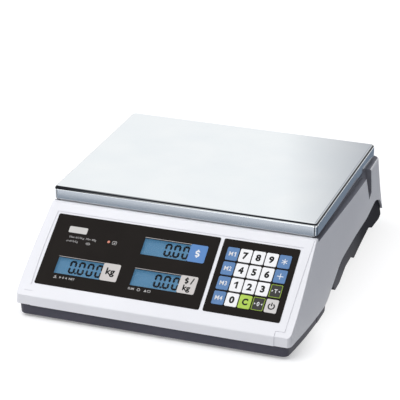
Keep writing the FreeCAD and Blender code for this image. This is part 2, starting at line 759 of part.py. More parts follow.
def circuit_card(outline, foot_z):
    """Bare board with a screw hole near each corner."""
    x, v, width, height = outline
    card = plate(width, height, foot_z, foot_z + board, 0.0, x, v)
    for cx, cv in board_corners(*outline):
        card = card.cut(flats(board_hole, foot_z - 1, foot_z + board + 1, cx, cv))
    return card


def display_stack(places, outline, frame):
    """Panes, liquid crystal glasses, backlights and board behind one row of windows."""
    panes = window_cuts(places, pane_margin, -recess_depth - pane_sheet, -recess_depth)
    glasses = window_cuts(places, lcd_margin, light_w, glass_w)
    lights = window_cuts(places, lcd_margin + backlight_margin, board_w, light_w)
    groups = [Part.makeCompound(items) for items in (panes, glasses, lights)]
    return [placed(item, frame) for item in groups + [circuit_card(outline, board_w - board)]]


def keypad_frame():
    """Frame that holds the keys from behind, in the opening of the face."""
    front = plate(frame_inner_width - 2 * fit_gap, frame_inner_height - 2 * fit_gap, -wall, -recess_depth,
                  0.0, keypad_x, overlay_v)
    flange = plate(keypad_board[2], frame_inner_height + 2 * frame_flange, key_stop_w, -wall,
                   0.0, keypad_x, overlay_v)
    frame = front.fuse(flange)
    for x, v in board_corners(*keypad_board):
        frame = frame.cut(flats(frame_notch, key_stop_w - 1, -wall + 1, x, v))
    for hole in key_cuts(key_stop_w - 1, 0):
        frame = frame.cut(hole)
    return frame.removeSplitter()


def key_cuts(z0, z1):
    return [trimmed(key_width + 2 * fit_gap, key_height + 2 * fit_gap, z0, z1, key_corner, x, v)
            for x, v in key_places().values()]


def key_cap(x, v):
    top = -recess_depth + overlay_sheet + key_proud
    cap = trimmed(key_width, key_height, key_stop_w - fit_gap, top, key_corner, x, v)
    flange = plate(key_width + 2 * key_flange_out_x, key_height + 2 * key_flange_out_v,
                   key_stop_w - fit_gap - key_flange, key_stop_w - fit_gap, 0.0, x, v)
    return cap.fuse(flange).removeSplitter()


def key_domes():
    """Silicone sheet with a tapered dome under each key."""
    sheet = plate(keypad_board[2] - 2 * dome_side, keypad_board[3] - 2 * dome_end, keypad_board_w,
                  keypad_board_w + dome_sheet, 0.0, keypad_x, overlay_v)
    foot_w = keypad_board_w + dome_sheet
    for x, v in key_places().values():
        rings = [ring(dome_diameter, foot_w, x, v), ring(dome_diameter - dome_taper, dome_top_w, x, v)]
        sheet = sheet.fuse(Part.makeLoft(rings, True, True))
    return sheet.removeSplitter()


# ---------------------------------------------------------------- weighing parts
def platter():
    """Drawn sheet tray, open downwards: rounded corners and top edge, lower edge turned in as a hem."""
    turn = platter_hem + (math.sqrt(2) - 1) * platter_sheet
    outer = tray_form(0.0, platter_top_z, platter_edge, platter_hem)
    return outer.cut(tray_form(platter_sheet, platter_under_z, platter_edge - platter_sheet, turn))


def tray_form(inset, top_z, edge, turn):
    """Solid block of the platter, moved inwards by inset, its top edge rounded and its foot cut back."""
    form = plate(platter_width - 2 * inset, platter_depth - 2 * inset, platter_foot_z, top_z,
                 platter_corner - inset, 0, platter_y)
    form = form.makeFillet(edge, edges_where(form, lambda e: e.BoundBox.ZMin > top_z - 0.1))
    return form.makeChamfer(turn, edges_where(form, lambda e: e.BoundBox.ZMax < platter_foot_z + 0.1))


def platter_carrier():
    """Cast spider: two cross arms on a spine, with a hub that drops to the load cell."""
    casting = trimmed(hub_width, 2 * pad_y, arm_foot_z, arm_top_z, hub_pocket, 0, platter_y)
    tip, root, end = arm_tip / 2, arm_width / 2, pad_x + arm_end
    corners = [(end, tip - arm_corner), (end - arm_corner, tip), (arm_shoulder, root)]
    half = corners + [(-x, y) for x, y in reversed(corners)]
    around = half + [(-x, -y) for x, y in half] + half[:1]
    for side in (-1, 1):
        arm = Part.makePolygon([Vector(x, platter_y + side * pad_y + y, arm_foot_z) for x, y in around])
        casting = casting.fuse(Part.Face(arm).extrude(Vector(0, 0, arm_height)))
    casting = casting.fuse(trimmed(hub_width, hub_depth, cell_top_z, arm_foot_z, hub_pocket, 0, free_end_y))
    casting = casting.cut(trimmed(hub_width - 4 * hub_pocket, pad_y - arm_width, arm_foot_z - 1,
                                  arm_foot_z + hub_pocket, hub_pocket, 0, platter_y - pad_y / 2))
    for x, y in pad_places():
        casting = casting.cut(flats(pad_diameter + 2 * pad_clear, arm_top_z - pad_seat, arm_top_z + 1,
                                    x, y, pad_flats))
    for y in cell_screw_rows(free_end_y):
        casting = casting.cut(flats(cell_screw + 2 * cell_screw_clear, cell_top_z - 1, arm_top_z + 1, 0, y))
        casting = casting.cut(flats(cell_screw_well, carrier_seat_z, arm_top_z + 1, 0, y, 16))
    return casting.removeSplitter()


def pad_places():
    return [(sx * pad_x, platter_y + sy * pad_y) for sx in (-1, 1) for sy in (-1, 1)]


def cell_screw_rows(y):
    return (y - cell_screw_pitch / 2, y + cell_screw_pitch / 2)


def carrier_pads():
    pads = []
    for x, y in pad_places():
        pad = flats(pad_diameter, arm_top_z - pad_seat, pad_top_z, x, y, pad_flats)
        pads.append(pad.makeChamfer(pad_edge, edges_where(pad, lambda e: e.BoundBox.ZMin > pad_top_z - 0.1)))
    return Part.makeCompound(pads)


def cap_screw(diameter, length, head_z, x, y, upwards=False, sides=8):
    """Cylinder-head screw with a hexagon socket; its head seats at head_z."""
    head = flats(cap_head * diameter, 0, 0.66 * diameter, sides=sides)
    socket = flats(0.78 * diameter, 0.3 * diameter, diameter, sides=6)
    whole = head.cut(socket).fuse(flats(diameter, -length, 0))
    if upwards:
        whole = whole.mirror(Vector(0, 0, 0), Vector(0, 0, 1))
    return whole.translated(Vector(x, y, head_z))


def carrier_screws():
    length = carrier_seat_z - cell_top_z + cell_screw_grip
    return Part.makeCompound([cap_screw(cell_screw, length, carrier_seat_z, 0, y, sides=16)
                              for y in cell_screw_rows(free_end_y)])


def load_cell_screws():
    length, seat = base_seat + cell_screw_grip, cell_z - base_seat
    return Part.makeCompound([cap_screw(cell_screw, length, seat, 0, y, True, 16)
                              for y in cell_screw_rows(fixed_end_y)])


def load_cell():
    """Single-point beam cell with its two joined bores."""
    y0, y1 = platter_y - cell_length / 2, platter_y + cell_length / 2
    beam = block(-cell_width / 2, cell_width / 2, y0, y1, cell_z, cell_top_z)
    mid_z = cell_z + cell_height / 2
    eyes = (platter_y - cell_eye_pitch / 2, platter_y + cell_eye_pitch / 2)
    for y in eyes:
        beam = beam.cut(Part.makeCylinder(cell_eye / 2, 2 * cell_width, Vector(-cell_width, y, mid_z),
                                          Vector(1, 0, 0)))
    beam = beam.cut(block(-cell_width, cell_width, *eyes, mid_z - cell_slot / 2, mid_z + cell_slot / 2))
    depth = cell_screw_grip + cell_screw_end
    for y in cell_screw_rows(free_end_y):
        beam = beam.cut(flats(cell_screw + cell_screw_clear, cell_top_z - depth, cell_top_z + 1, 0, y))
    for y in cell_screw_rows(fixed_end_y):
        beam = beam.cut(flats(cell_screw + cell_screw_clear, cell_z - 1, cell_z + depth, 0, y))
    return beam


def load_cell_base():
    """Cast pedestal that lifts the fixed end of the cell off the floor."""
    flange_z = inner_floor_z + base_sheet
    flange = trimmed(base_width, base_depth, inner_floor_z, flange_z, base_corner, 0, fixed_end_y)
    column = trimmed(hub_width, hub_depth, inner_floor_z, cell_z, hub_pocket, 0, fixed_end_y)
    front = fixed_end_y - hub_depth / 2
    rib = side_cut([(front - base_rib_run, flange_z - 1, 0), (front + 1, cell_z - base_rib_top, 0),
                    (front + 4, cell_z - base_rib_top, 0), (front + 4, flange_z - 1, 0)],
                   -base_rib / 2, base_rib / 2)
    base = flange.fuse(column).fuse(rib)
    for y in cell_screw_rows(fixed_end_y):
        base = base.cut(flats(cell_screw + 2 * cell_screw_clear, inner_floor_z - 1, cell_z + 1, 0, y))
        base = base.cut(flats(cell_screw_well, inner_floor_z - 1, cell_z - base_seat, 0, y, 16))
    return base.removeSplitter()


# ---------------------------------------------------------------- feet, door and small parts
def foot_pad(x, y):
    """Rubber-soled pad with finger flats and a socket for the stud."""
    pad = flats(foot_pad_diameter, 0, foot_pad_height, x, y, foot_pad_flats)
    pad = pad.makeChamfer(foot_pad_edge, edges_where(pad, lambda e: e.BoundBox.ZMin > foot_pad_height - 0.1))
    return pad.cut(rod(foot_stud + 2 * fit_gap, foot_pad_height - foot_socket, foot_pad_height + 1, x, y))


def foot_screw(x, y):
    """Threaded stud of a levelling foot, slotted at its top end."""
    foot_z = foot_pad_height - foot_socket
    top_z = foot_z + foot_stud_length
    stud = rod(foot_stud, foot_z, top_z, x, y)
    return stud.cut(block(x - foot_stud, x + foot_stud, y - foot_slot / 2, y + foot_slot / 2,
                          top_z - foot_slot_depth, top_z + 1))


def battery_door():
    width, length = door_width + 2 * door_margin, door_length + 2 * door_margin
    lid = block_at(battery_x, battery_y, width, length, floor_z, floor_z + door_sheet)
    lid = lid.fuse(block_at(battery_x, battery_y, width + 2 * door_tongue, length - 2 * door_tongue_inset,
                            floor_z + door_sheet / 2, floor_z + door_sheet))
    for i in range(4):
        y = battery_y - length / 2 + door_tongue_inset + door_rib_pitch * (i + 0.25)
        lid = lid.cut(block_at(battery_x, y, door_rib_width, door_rib_pitch / 2, floor_z - 1,
                               floor_z + door_rib_depth))
    return lid.removeSplitter()


def battery():
    z0 = floor_z + door_sheet + fit_gap
    tab_z = z0 + battery_height - battery_tab_drop
    cell = trimmed(battery_width, battery_length, z0, z0 + battery_height, battery_corner,
                   battery_x, battery_y)
    for side in (-1, 1):
        cell = cell.fuse(block_at(battery_x + side * battery_tab_pitch / 2, battery_y - battery_length / 2,
                                  battery_tab, 2 * battery_tab, tab_z, tab_z + battery_tab_sheet))
    return cell.removeSplitter()


def main_board():
    card = circuit_card(main_board_outline, main_board_z)
    top = main_board_z + board
    spots = [(main_board_x + part[0] * main_board_width, main_board_y + part[1] * main_board_length)
             for part in main_board_blocks + main_board_cans]
    for (x, y), (_, _, width, depth, height) in zip(spots, main_board_blocks):
        card = card.fuse(block_at(x, y, width, depth, top - 0.1, top + height))
    for (x, y), (_, _, diameter, height) in zip(spots[len(main_board_blocks):], main_board_cans):
        card = card.fuse(flats(diameter, top - 0.1, top + height, x, y, 16))
    return card.removeSplitter()


def dc_inlet():
    """Panel socket for the mains adapter, in the tail wall of the lower housing."""
    outer_y = deck_back_y + (deck_z - inlet_z) * tail_run - nest_inset

    def along(diameter, start, length):
        foot = Vector(inlet_x, outer_y - start, inlet_z)
        return Part.makeCylinder(diameter / 2, length, foot, Vector(0, 1, 0))

    housing = block_at(inlet_x, outer_y - inlet_set - inlet_length / 2, inlet_width, inlet_length,
                       inner_floor_z, inlet_z + inlet_width / 2)
    socket = along(inlet_barrel, inlet_neck, inlet_neck).fuse(housing)
    socket = socket.cut(along(inlet_bore, inlet_depth, inlet_depth + 1))
    return socket.fuse(along(inlet_pin, inlet_depth + 0.5, inlet_pin_length)).removeSplitter()


def level_vial():
    """Bubble level set in the deck under the platter."""
    cup = rod(vial_cup, deck_z + vial_flange - vial_height, deck_z + vial_flange, vial_x, vial_y)
    return rod(vial_diameter, deck_z, deck_z + vial_flange, vial_x, vial_y).fuse(cup).removeSplitter()


def housing_screws():
    length = seat_z - screw_seat_z + screw_grip
    return Part.makeCompound([cap_screw(screw, length, screw_seat_z, x, y, True) for x, y in post_places()])


def board_screws():
    items = []
    for outline, foot_w, frame in ((display_board, board_w, face_frame),
                                   (customer_board, board_w, tail_frame),
                                   (keypad_board, keypad_board_w, face_frame)):
        seat = foot_w - board
        items += [placed(cap_screw(board_screw, board_screw_length, seat, x, v, True), frame)
                  for x, v in board_corners(*outline)]
    seat = main_board_z + board
    items += [cap_screw(board_screw, board_screw_length, seat, x, y)
              for x, y in board_corners(*main_board_outline)]
    return Part.makeCompound(items)


# ---------------------------------------------------------------- build
def main():
    os.makedirs("parts", exist_ok=True)
    save("upper_housing", upper_housing())
    save("lower_housing", lower_housing())

    display_film = overlay_with(display_width, overlay_height, window_cuts(windows, 0.0, -2, 2),
                                display_x, overlay_v)
    keypad_film = overlay_with(keypad_width, overlay_height, key_cuts(-2, 2), keypad_x, overlay_v)
    save("display_overlay", placed(display_film, face_frame))
    save("keypad_overlay", placed(keypad_film, face_frame))
    save("keypad_frame", placed(keypad_frame(), face_frame))
    for name, (x, v) in key_places().items():
        save(name, placed(key_cap(x, v), face_frame))
    save("key_domes", placed(key_domes(), face_frame))
    save("keypad_board", placed(circuit_card(keypad_board, keypad_board_w - board), face_frame))

    front_names = ("display_windows", "front_lcds", "lcd_backlights", "front_display_board")
    tail_names = ("customer_windows", "customer_lcds", "customer_backlights", "customer_display_board")
    for names, places, outline, where in ((front_names, windows, display_board, face_frame),
                                          (tail_names, customer_windows, customer_board, tail_frame)):
        for name, shape in zip(names, display_stack(places, outline, where)):
            save(name, shape)
    customer_film = overlay_with(customer_width - 2 * fit_gap, customer_height - 2 * fit_gap,
                                 window_cuts(customer_windows, 0.0, -2, 2), 0.0, 0.0,
                                 customer_corner - fit_gap)
    save("customer_overlay", placed(customer_film, tail_frame))

    save("platter", platter())
    save("platter_carrier", platter_carrier())
    save("carrier_pads", carrier_pads())
    save("carrier_screws", carrier_screws())
    save("load_cell", load_cell())
    save("load_cell_base", load_cell_base())
    save("load_cell_screws", load_cell_screws())
    for name, (x, y) in foot_places().items():
        save(f"foot_pad_{name}", foot_pad(x, y))
        save(f"foot_screw_{name}", foot_screw(x, y))
    save("battery", battery())
    save("battery_door", battery_door())
    save("main_board", main_board())
    save("dc_inlet", dc_inlet())
    save("level_vial", level_vial())
    save("housing_screws", housing_screws())
    save("board_screws", board_screws())


main()
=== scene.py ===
import json
import math

import bmesh
import bpy
from mathutils import Matrix, Vector


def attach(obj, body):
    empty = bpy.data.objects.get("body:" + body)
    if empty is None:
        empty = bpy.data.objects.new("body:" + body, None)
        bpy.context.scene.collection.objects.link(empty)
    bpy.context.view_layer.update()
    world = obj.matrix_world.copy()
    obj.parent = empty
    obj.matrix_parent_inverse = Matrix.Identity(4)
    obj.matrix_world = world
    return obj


# Retail price scale: finishes, printed marks, lit readouts, and a studio with one lamp, a floor of white
# paper and cards for the steel and the films to mirror.
# Lengths here are in millimetres unless a name says otherwise; MM turns them into metres.

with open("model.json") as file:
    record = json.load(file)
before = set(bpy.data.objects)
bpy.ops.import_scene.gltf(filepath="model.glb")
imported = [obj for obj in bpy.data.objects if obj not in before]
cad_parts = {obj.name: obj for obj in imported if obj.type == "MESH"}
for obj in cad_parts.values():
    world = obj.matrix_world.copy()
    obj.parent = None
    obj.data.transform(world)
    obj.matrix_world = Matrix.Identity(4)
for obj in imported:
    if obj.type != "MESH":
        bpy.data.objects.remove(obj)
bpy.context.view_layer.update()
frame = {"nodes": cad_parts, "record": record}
scene = bpy.context.scene
MM = 0.001

# ---------------------------------------------------------------- sizes of printed marks and readouts
ink_layer = 0.04
label_layer = 0.12
# places on the sloping face are (across, up) from its middle line and the middle of the films
weight_window = (-96.6, -19.1)
price_window = (-6.6, -19.1)
total_window = (-6.6, 20.5)
window_size = (54.0, 20.5)
window_line = 0.6           # thickness of the line printed above each window
window_line_gap = 1.1       # its middle above the window
digit_width = 5.6           # between the middles of the upright segments
digit_height = 14.0         # between the middles of the level segments
digit_stroke = 2.5
digit_pitch = 10.4
level_bar_end = 0.3         # level segments reach this far past the middles of the upright ones
upright_bar_end = 0.2       # upright segments stop this far short at each end
upright_bar_shift = 0.35    # and lie this far outward
point_half = digit_stroke * 0.68
point_shift = 0.1
readout_right = 26.2        # right edge of the last digit from the middle of its window
readout_rise = 1.5          # middle of the digits above the middle of the window
badge_size = (19.8, 21.9)
badge_corner = 1.8
badge_offset = 36.8         # middle of a unit badge from the middle of its window
badge_rise = 0.8
name_plate_size = (21.8, 8.0)
name_plate_corner = 1.3
name_plate_place = (-112.8, 27.6)
lamp_place = (-73.5, 18.9)
lamp_radius, lamp_rim, lamp_height = 1.6, 0.05, 0.5
small_print = 2.5           # height of its capitals
rating_rise = 17.9          # the two rating lines
steps_rise = 12.6
charge_sign_place = (-66.6, 18.6)
seal_place = (-96.4, 12.4)
status_rise = -34.0         # the row of marks below the windows, and its right half
right_status_rise = status_rise + 0.4
customer_pitch = 75.0
customer_readout_right = readout_right - 3.0
customer_print = 3.4
customer_print_rise = -13.6
key_rim_outer = (12.9, 15.6, 1.0)       # width, height and corner
key_rim_inner = (11.7, 14.4, 0.7)

# ---------------------------------------------------------------- sizes of the level vial
vial_radius = 5.4
vial_layer = 0.06
bubble_radius = 2.1
bubble_height = 0.4
vial_ring_outer, vial_ring_inner = 3.1, 2.7

# ---------------------------------------------------------------- drain step and spout, in metres
# Where painted shade lies in the drain step and spout. Two figures are where the painted shade begins and
# where it is full.
drain_front, drain_back = -0.084, 0.119         # ends of the step
step_floor_z, cheek_top_z = 0.0936, 0.0973      # just under the step's floor, and under the cheek behind it
step_inner_x = (0.1485, 0.149)
skin_lean = 0.0667                              # lean of the side wall, which the spout's back follows
spout_back_skin = (0.1605, 0.161)
spout_inner_x = (0.1445, 0.145)
spout_foot_z = (0.055, 0.056)
spout_front_y, spout_back_y = (0.098, 0.1), (0.1295, 0.13)
spout_painted_shade_share = 0.9                               # how far the spout takes on the painted shade


# ---------------------------------------------------------------- nodes and colours
def linear(hex_colour):
    """Linear colour with alpha of an sRGB hex value such as "26211F"."""
    channels = [int(hex_colour[i:i + 2], 16) / 255 for i in (0, 2, 4)]
    return [c / 12.92 if c <= 0.04045 else ((c + 0.055) / 1.055) ** 2.4 for c in channels] + [1.0]


def add(tree, kind, inputs=None, **settings):
    """A node of that kind with its settings; each input takes a value or another node's output."""
    made = tree.nodes.new(kind)
    for name, value in settings.items():
        setattr(made, name, value)
    for key, value in (inputs or {}).items():
        if isinstance(value, bpy.types.NodeSocket):
            tree.links.new(value, made.inputs[key])
        else:
            made.inputs[key].default_value = value
    return made


def finish(name, sockets):
    """A material with one Principled shader; sockets gives its constants by name."""
    material = bpy.data.materials.new(name)
    material.use_nodes = True
    tree = material.node_tree
    tree.nodes.clear()
    shader = add(tree, "ShaderNodeBsdfPrincipled", sockets)
    add(tree, "ShaderNodeOutputMaterial", {"Surface": shader.outputs["BSDF"]})
    return material, tree, shader


def maths(tree, operation, *values):
    """A sum, product or comparison of numbers and other nodes' outputs."""
    return add(tree, "ShaderNodeMath", dict(enumerate(values)), operation=operation).outputs[0]


def product(tree, *factors):
    """All the factors multiplied."""
    result = factors[0]
    for factor in factors[1:]:
        result = maths(tree, "MULTIPLY", result, factor)
    return result


def mix(tree, share, first, second):
    """The first colour, run over into the second by that share."""
    return add(tree, "ShaderNodeMixRGB", {"Fac": share, "Color1": first, "Color2": second}).outputs[0]


def xyz(tree, vector):
    """The X, Y and Z outputs of a vector."""
    return add(tree, "ShaderNodeSeparateXYZ", {"Vector": vector}).outputs


def position(tree):
    """Where the shaded point lies on its piece, as X, Y and Z outputs in metres."""
    return xyz(tree, add(tree, "ShaderNodeTexCoord").outputs["Object"])


def facing_way(tree):
    """Which way the surface faces, as X, Y and Z outputs."""
    return xyz(tree, add(tree, "ShaderNodeNewGeometry").outputs["Normal"])


def noise(tree, grain, detail=2.0, stretch=(1, 1, 1)):
    """Noise with grains of that many millimetres, longer along an axis whose stretch is above 1."""
    where = add(tree, "ShaderNodeTexCoord").outputs["Object"]
    scale = [1 / (grain * MM * s) for s in stretch]
    spread = add(tree, "ShaderNodeMapping", {"Vector": where, "Scale": scale})
    return add(tree, "ShaderNodeTexNoise",
               {"Vector": spread.outputs["Vector"], "Scale": 1.0, "Detail": detail}).outputs["Fac"]


def between(tree, pattern, low, high, start=0.3, stop=0.7):
    """The pattern's middle spread over a range of values."""
    return add(tree, "ShaderNodeMapRange", {"Value": pattern, "From Min": start, "From Max": stop,
                                            "To Min": low, "To Max": high}).outputs["Result"]


def past(tree, value, start, stop):
    """0 up to start, 1 from stop on."""
    return between(tree, value, 0.0, 1.0, start, stop)


def short_of(tree, value, start, stop):
    """1 up to start, 0 from stop on."""
    return between(tree, value, 1.0, 0.0, start, stop)


def shades(tree, pattern, first, second, start=0.35, stop=0.65):
    """Two hex colours that run into each other over the pattern's middle."""
    ramp = add(tree, "ShaderNodeValToRGB", {"Fac": pattern})
    ends = ramp.color_ramp.elements
    ends[0].position, ends[0].color = start, linear(first)
    ends[1].position, ends[1].color = stop, linear(second)
    return ramp.outputs["Color"]


def relief(tree, pattern, height, strength=0.5):
    """Bump of that many millimetres."""
    return add(tree, "ShaderNodeBump",
               {"Height": pattern, "Distance": height * MM, "Strength": strength}).outputs["Normal"]


def wire(tree, shader, **links):
    """Links outputs to the shader's inputs; an underscore in a name stands for a space."""
    for name, output in links.items():
        tree.links.new(output, shader.inputs[name.replace("_", " ")])


def shader_of(material):
    """The tree and the Principled shader of a finish."""
    tree = material.node_tree
    return tree, next(n for n in tree.nodes if n.type == "BSDF_PRINCIPLED")


def recoloured(material, mask_of, colour):
    """Lays a colour over a finish where mask_of(tree) is 1."""
    tree, shader = shader_of(material)
    first = shader.inputs["Base Color"].links[0].from_socket
    wire(tree, shader, Base_Color=mix(tree, mask_of(tree), first, linear(colour)))


# ---------------------------------------------------------------- finishes
def moulded_abs(name, colour, drifted, roughness, spark, height):
    """Injection-moulded ABS from a spark-eroded mould: a fine even grain breaks up the highlight,
    and the shade drifts a little over the length of the moulding."""
    material, tree, shader = finish(name, {"IOR": 1.54, "Specular IOR Level": 0.3})
    grain = noise(tree, spark, 3.0)
    wire(tree, shader, Base_Color=shades(tree, noise(tree, 90.0), colour, drifted),
         Roughness=between(tree, grain, roughness - 0.06, roughness + 0.06),
         Normal=relief(tree, grain, height))
    return material


def printed_film(name, colour, drifted, roughness):
    """Polyester film printed on its back: a smooth satin face with a faint orange-peel ripple."""
    material, tree, shader = finish(name, {"IOR": 1.57, "Specular IOR Level": 0.12})
    ripple = noise(tree, 1.2)
    wire(tree, shader, Base_Color=shades(tree, noise(tree, 40.0), colour, drifted),
         Roughness=between(tree, ripple, roughness - 0.04, roughness + 0.05),
         Normal=relief(tree, ripple, 0.006))
    return material


def key_plastic(name, colour, drifted):
    """Satin moulded key cap: an even colour with a slight polish on the finger side."""
    material, tree, shader = finish(name, {"IOR": 1.54})
    rub = noise(tree, 3.0)
    wire(tree, shader, Base_Color=shades(tree, noise(tree, 11.0), colour, drifted),
         Roughness=between(tree, rub, 0.3, 0.42), Normal=relief(tree, noise(tree, 0.5), 0.01))
    return material


def ink(name, colour, drifted, roughness=0.45):
    """Screen-printing ink: an opaque flat colour with the mesh's faint unevenness."""
    material, tree, shader = finish(name, {"IOR": 1.5, "Specular IOR Level": 0.25})
    mesh_marks = noise(tree, 0.4)
    wire(tree, shader, Base_Color=shades(tree, mesh_marks, colour, drifted),
         Roughness=between(tree, mesh_marks, roughness - 0.05, roughness + 0.05))
    return material


def bright_stainless():
    """Drawn sheet of bright rolled stainless steel: mirror-like, with long faint rolling lines. A painted
    dark reflection lies along its bends and its upright corners: at the front left over the whole bend,
    elsewhere only over its middle."""
    material, tree, shader = finish("bright_rolled_stainless", {"Metallic": 1.0})
    rolling = noise(tree, 0.5, 3.0, stretch=(60, 1, 1))
    way = facing_way(tree)

    def near(value, middle, core, rim):
        """1 within core of the middle, 0 beyond rim."""
        return short_of(tree, maths(tree, "ABSOLUTE", maths(tree, "SUBTRACT", value, middle)), core, rim)

    # painted dark reflection: the middle facet of each bend, the whole front-left bend and the upright
    # corners are coloured near black
    bend = near(way["Z"], 0.7, 0.15, 0.25)
    whole_bend = product(tree, near(way["Z"], 0.6, 0.37, 0.39), short_of(tree, way["Y"], -0.2, -0.1),
                         short_of(tree, position(tree)["X"], -0.14, 0.09))
    turn = maths(tree, "ABSOLUTE", product(tree, way["X"], way["Y"]))
    corner = product(tree, near(turn, 0.33, 0.08, 0.12), 0.75)
    dark = maths(tree, "MAXIMUM", maths(tree, "MAXIMUM", bend, whole_bend), corner)
    bright = shades(tree, noise(tree, 60.0), "EFF2F4", "F3F5F6")
    wire(tree, shader, Base_Color=mix(tree, dark, bright, linear("26282C")),
         Roughness=between(tree, rolling, 0.07, 0.12), Normal=relief(tree, rolling, 0.004, 0.25))
    return material


def cast_metal(name, colour, drifted, grain, height, roughness):
    """Die-cast, shot-blasted or plated metal: a dull grainy lustre."""
    material, tree, shader = finish(name, {"Metallic": 1.0})
    peen = noise(tree, grain, 3.0)
    wire(tree, shader, Base_Color=shades(tree, noise(tree, 8.0), colour, drifted),
         Roughness=between(tree, peen, roughness - 0.06, roughness + 0.08),
         Normal=relief(tree, peen, height))
    return material


def rubber(name, colour, drifted, roughness=0.75):
    """Moulded rubber: matt and deep, with a dusty bloom."""
    material, tree, shader = finish(name, {"IOR": 1.52})
    bloom = noise(tree, 2.5, 4.0)
    wire(tree, shader, Base_Color=shades(tree, bloom, colour, drifted),
         Roughness=between(tree, bloom, roughness - 0.08, roughness + 0.08),
         Normal=relief(tree, noise(tree, 0.4), 0.02))
    return material


def crystal_display():
    """Liquid crystal glass lit from behind: an even steel blue that glows slightly."""
    material, tree, shader = finish("blue_lit_crystal_glass", {
        "IOR": 1.52, "Emission Color": linear("5B8AAC"), "Emission Strength": 0.51})
    wire(tree, shader, Base_Color=shades(tree, noise(tree, 30.0), "3D6785", "426C8A"),
         Roughness=between(tree, noise(tree, 0.3), 0.25, 0.34))
    return material


def clear_acrylic():
    """Clear acrylic with an anti-reflection coat: nearly invisible, with a gloss at low angles."""
    material, tree, shader = finish("clear_window_acrylic", {
        "Base Color": linear("F4F8FA"), "IOR": 1.1, "Transmission Weight": 1.0})
    wire(tree, shader, Roughness=between(tree, noise(tree, 6.0), 0.0, 0.02))
    return material


def lamp_lens():
    """Red indicator behind a moulded lens, lit."""
    material, tree, shader = finish("orange_red_lens", {
        "IOR": 1.5, "Emission Color": linear("D08068"), "Emission Strength": 0.2})
    wire(tree, shader, Base_Color=shades(tree, noise(tree, 0.8), "B8705C", "C98470"),
         Roughness=between(tree, noise(tree, 0.5), 0.18, 0.3))
    return material


def solder_mask():
    """Green solder mask over fibreglass: glossy, with the weave just showing."""
    material, tree, shader = finish("green_solder_mask", {"IOR": 1.55})
    weave = noise(tree, 0.6, stretch=(3, 1, 1))
    wire(tree, shader, Base_Color=shades(tree, weave, "0C4A2B", "11603A"),
         Roughness=between(tree, weave, 0.25, 0.4), Normal=relief(tree, weave, 0.01))
    return material


finishes = {
    "white_shell": moulded_abs("white_moulded_abs", "ECECF0", "E8E8EC", 0.42, 0.35, 0.012),
    "dark_base": moulded_abs("violet_grey_moulded_abs", "44434E", "4C4B57", 0.5, 0.45, 0.02),
    "overlay_film": printed_film("black_printed_film", "120D0A", "16110E", 0.34),
    "black_plastic": moulded_abs("black_moulded_abs", "17171A", "1E1E22", 0.5, 0.5, 0.02),
    "clear_window": clear_acrylic(),
    "lcd_glass": crystal_display(),
    "backlight_plastic": key_plastic("milky_light_guide", "E4E8E8", "EDEFEF"),
    "circuit_board": solder_mask(),
    "silicone_rubber": rubber("milky_silicone", "BDBDB8", "C6C6C2", 0.6),
    "cell_aluminium": cast_metal("milled_aluminium", "C4C5C8", "CDCED0", 0.25, 0.01, 0.32),
    "cast_aluminium": cast_metal("blasted_cast_aluminium", "9DA0A5", "A9ACB0", 0.6, 0.05, 0.5),
    "steel_screws": cast_metal("zinc_plated_steel", "A9ABB0", "BBBCBD", 0.3, 0.01, 0.3),
    "battery_case": moulded_abs("battery_case_abs", "232328", "2A2A2F", 0.5, 0.6, 0.03),
    "black_rubber": rubber("black_nitrile_rubber", "161617", "222224"),
    "stainless_sheet": bright_stainless(),
    "key_white": key_plastic("white_key_cap", "F1F1F2", "EDEDEE"),
    "key_blue": key_plastic("blue_key_cap", "5178A8", "567DAD"),
    "key_black": key_plastic("black_key_cap", "1E1B19", "24211F"),
    "key_green": key_plastic("lime_key_cap", "A5C445", "ACCB4E"),
    "key_grey": key_plastic("grey_key_cap", "CCC8C6", "D1CDCB"),
}


def drain_painted_shade_mask(tree):
    """Where painted shade lies: 1 on the step along each side of the deck, the spout's share of it in the
    spout that it runs into, else 0.
    """
    at = position(tree)
    out = maths(tree, "ABSOLUTE", at["X"])
    brow = between(tree, at["Y"], step_floor_z, cheek_top_z, drain_back - 0.0005, drain_back)
    step = product(tree, maths(tree, "GREATER_THAN", at["Z"], brow), past(tree, out, *step_inner_x),
                   past(tree, at["Y"], drain_front, drain_front + 0.001))
    skin = maths(tree, "MULTIPLY_ADD", at["Z"], skin_lean, out)
    hollow = maths(tree, "MAXIMUM", short_of(tree, skin, *spout_back_skin),
                   short_of(tree, facing_way(tree)["Y"], -0.45, -0.3))
    spout = product(tree, hollow, past(tree, out, *spout_inner_x), past(tree, at["Z"], *spout_foot_z),
                    past(tree, at["Y"], *spout_front_y), short_of(tree, at["Y"], *spout_back_y),
                    spout_painted_shade_share)
    return maths(tree, "MAXIMUM", step, spout)


def tail_painted_shade_mask(tree):
    """Painted shade: 0 at the nose, and most of the way to 1 at the tail."""
    return between(tree, position(tree)["Y"], 0.0, 0.8, -0.12, 0.12)


# painted shade: the drain step under the platter's rim and the spout are darkened in the white shell's
# colour
recoloured(finishes["white_shell"], drain_painted_shade_mask, "6F6F78")
# painted shade: the lower housing is darkened towards the tail, and its specular fades there too
recoloured(finishes["dark_base"], tail_painted_shade_mask, "1A1A20")
base_tree, base_shader = shader_of(finishes["dark_base"])
wire(base_tree, base_shader,
     Specular_IOR_Level=between(base_tree, position(base_tree)["Y"], 0.3, 0.01, -0.12, 0.1))

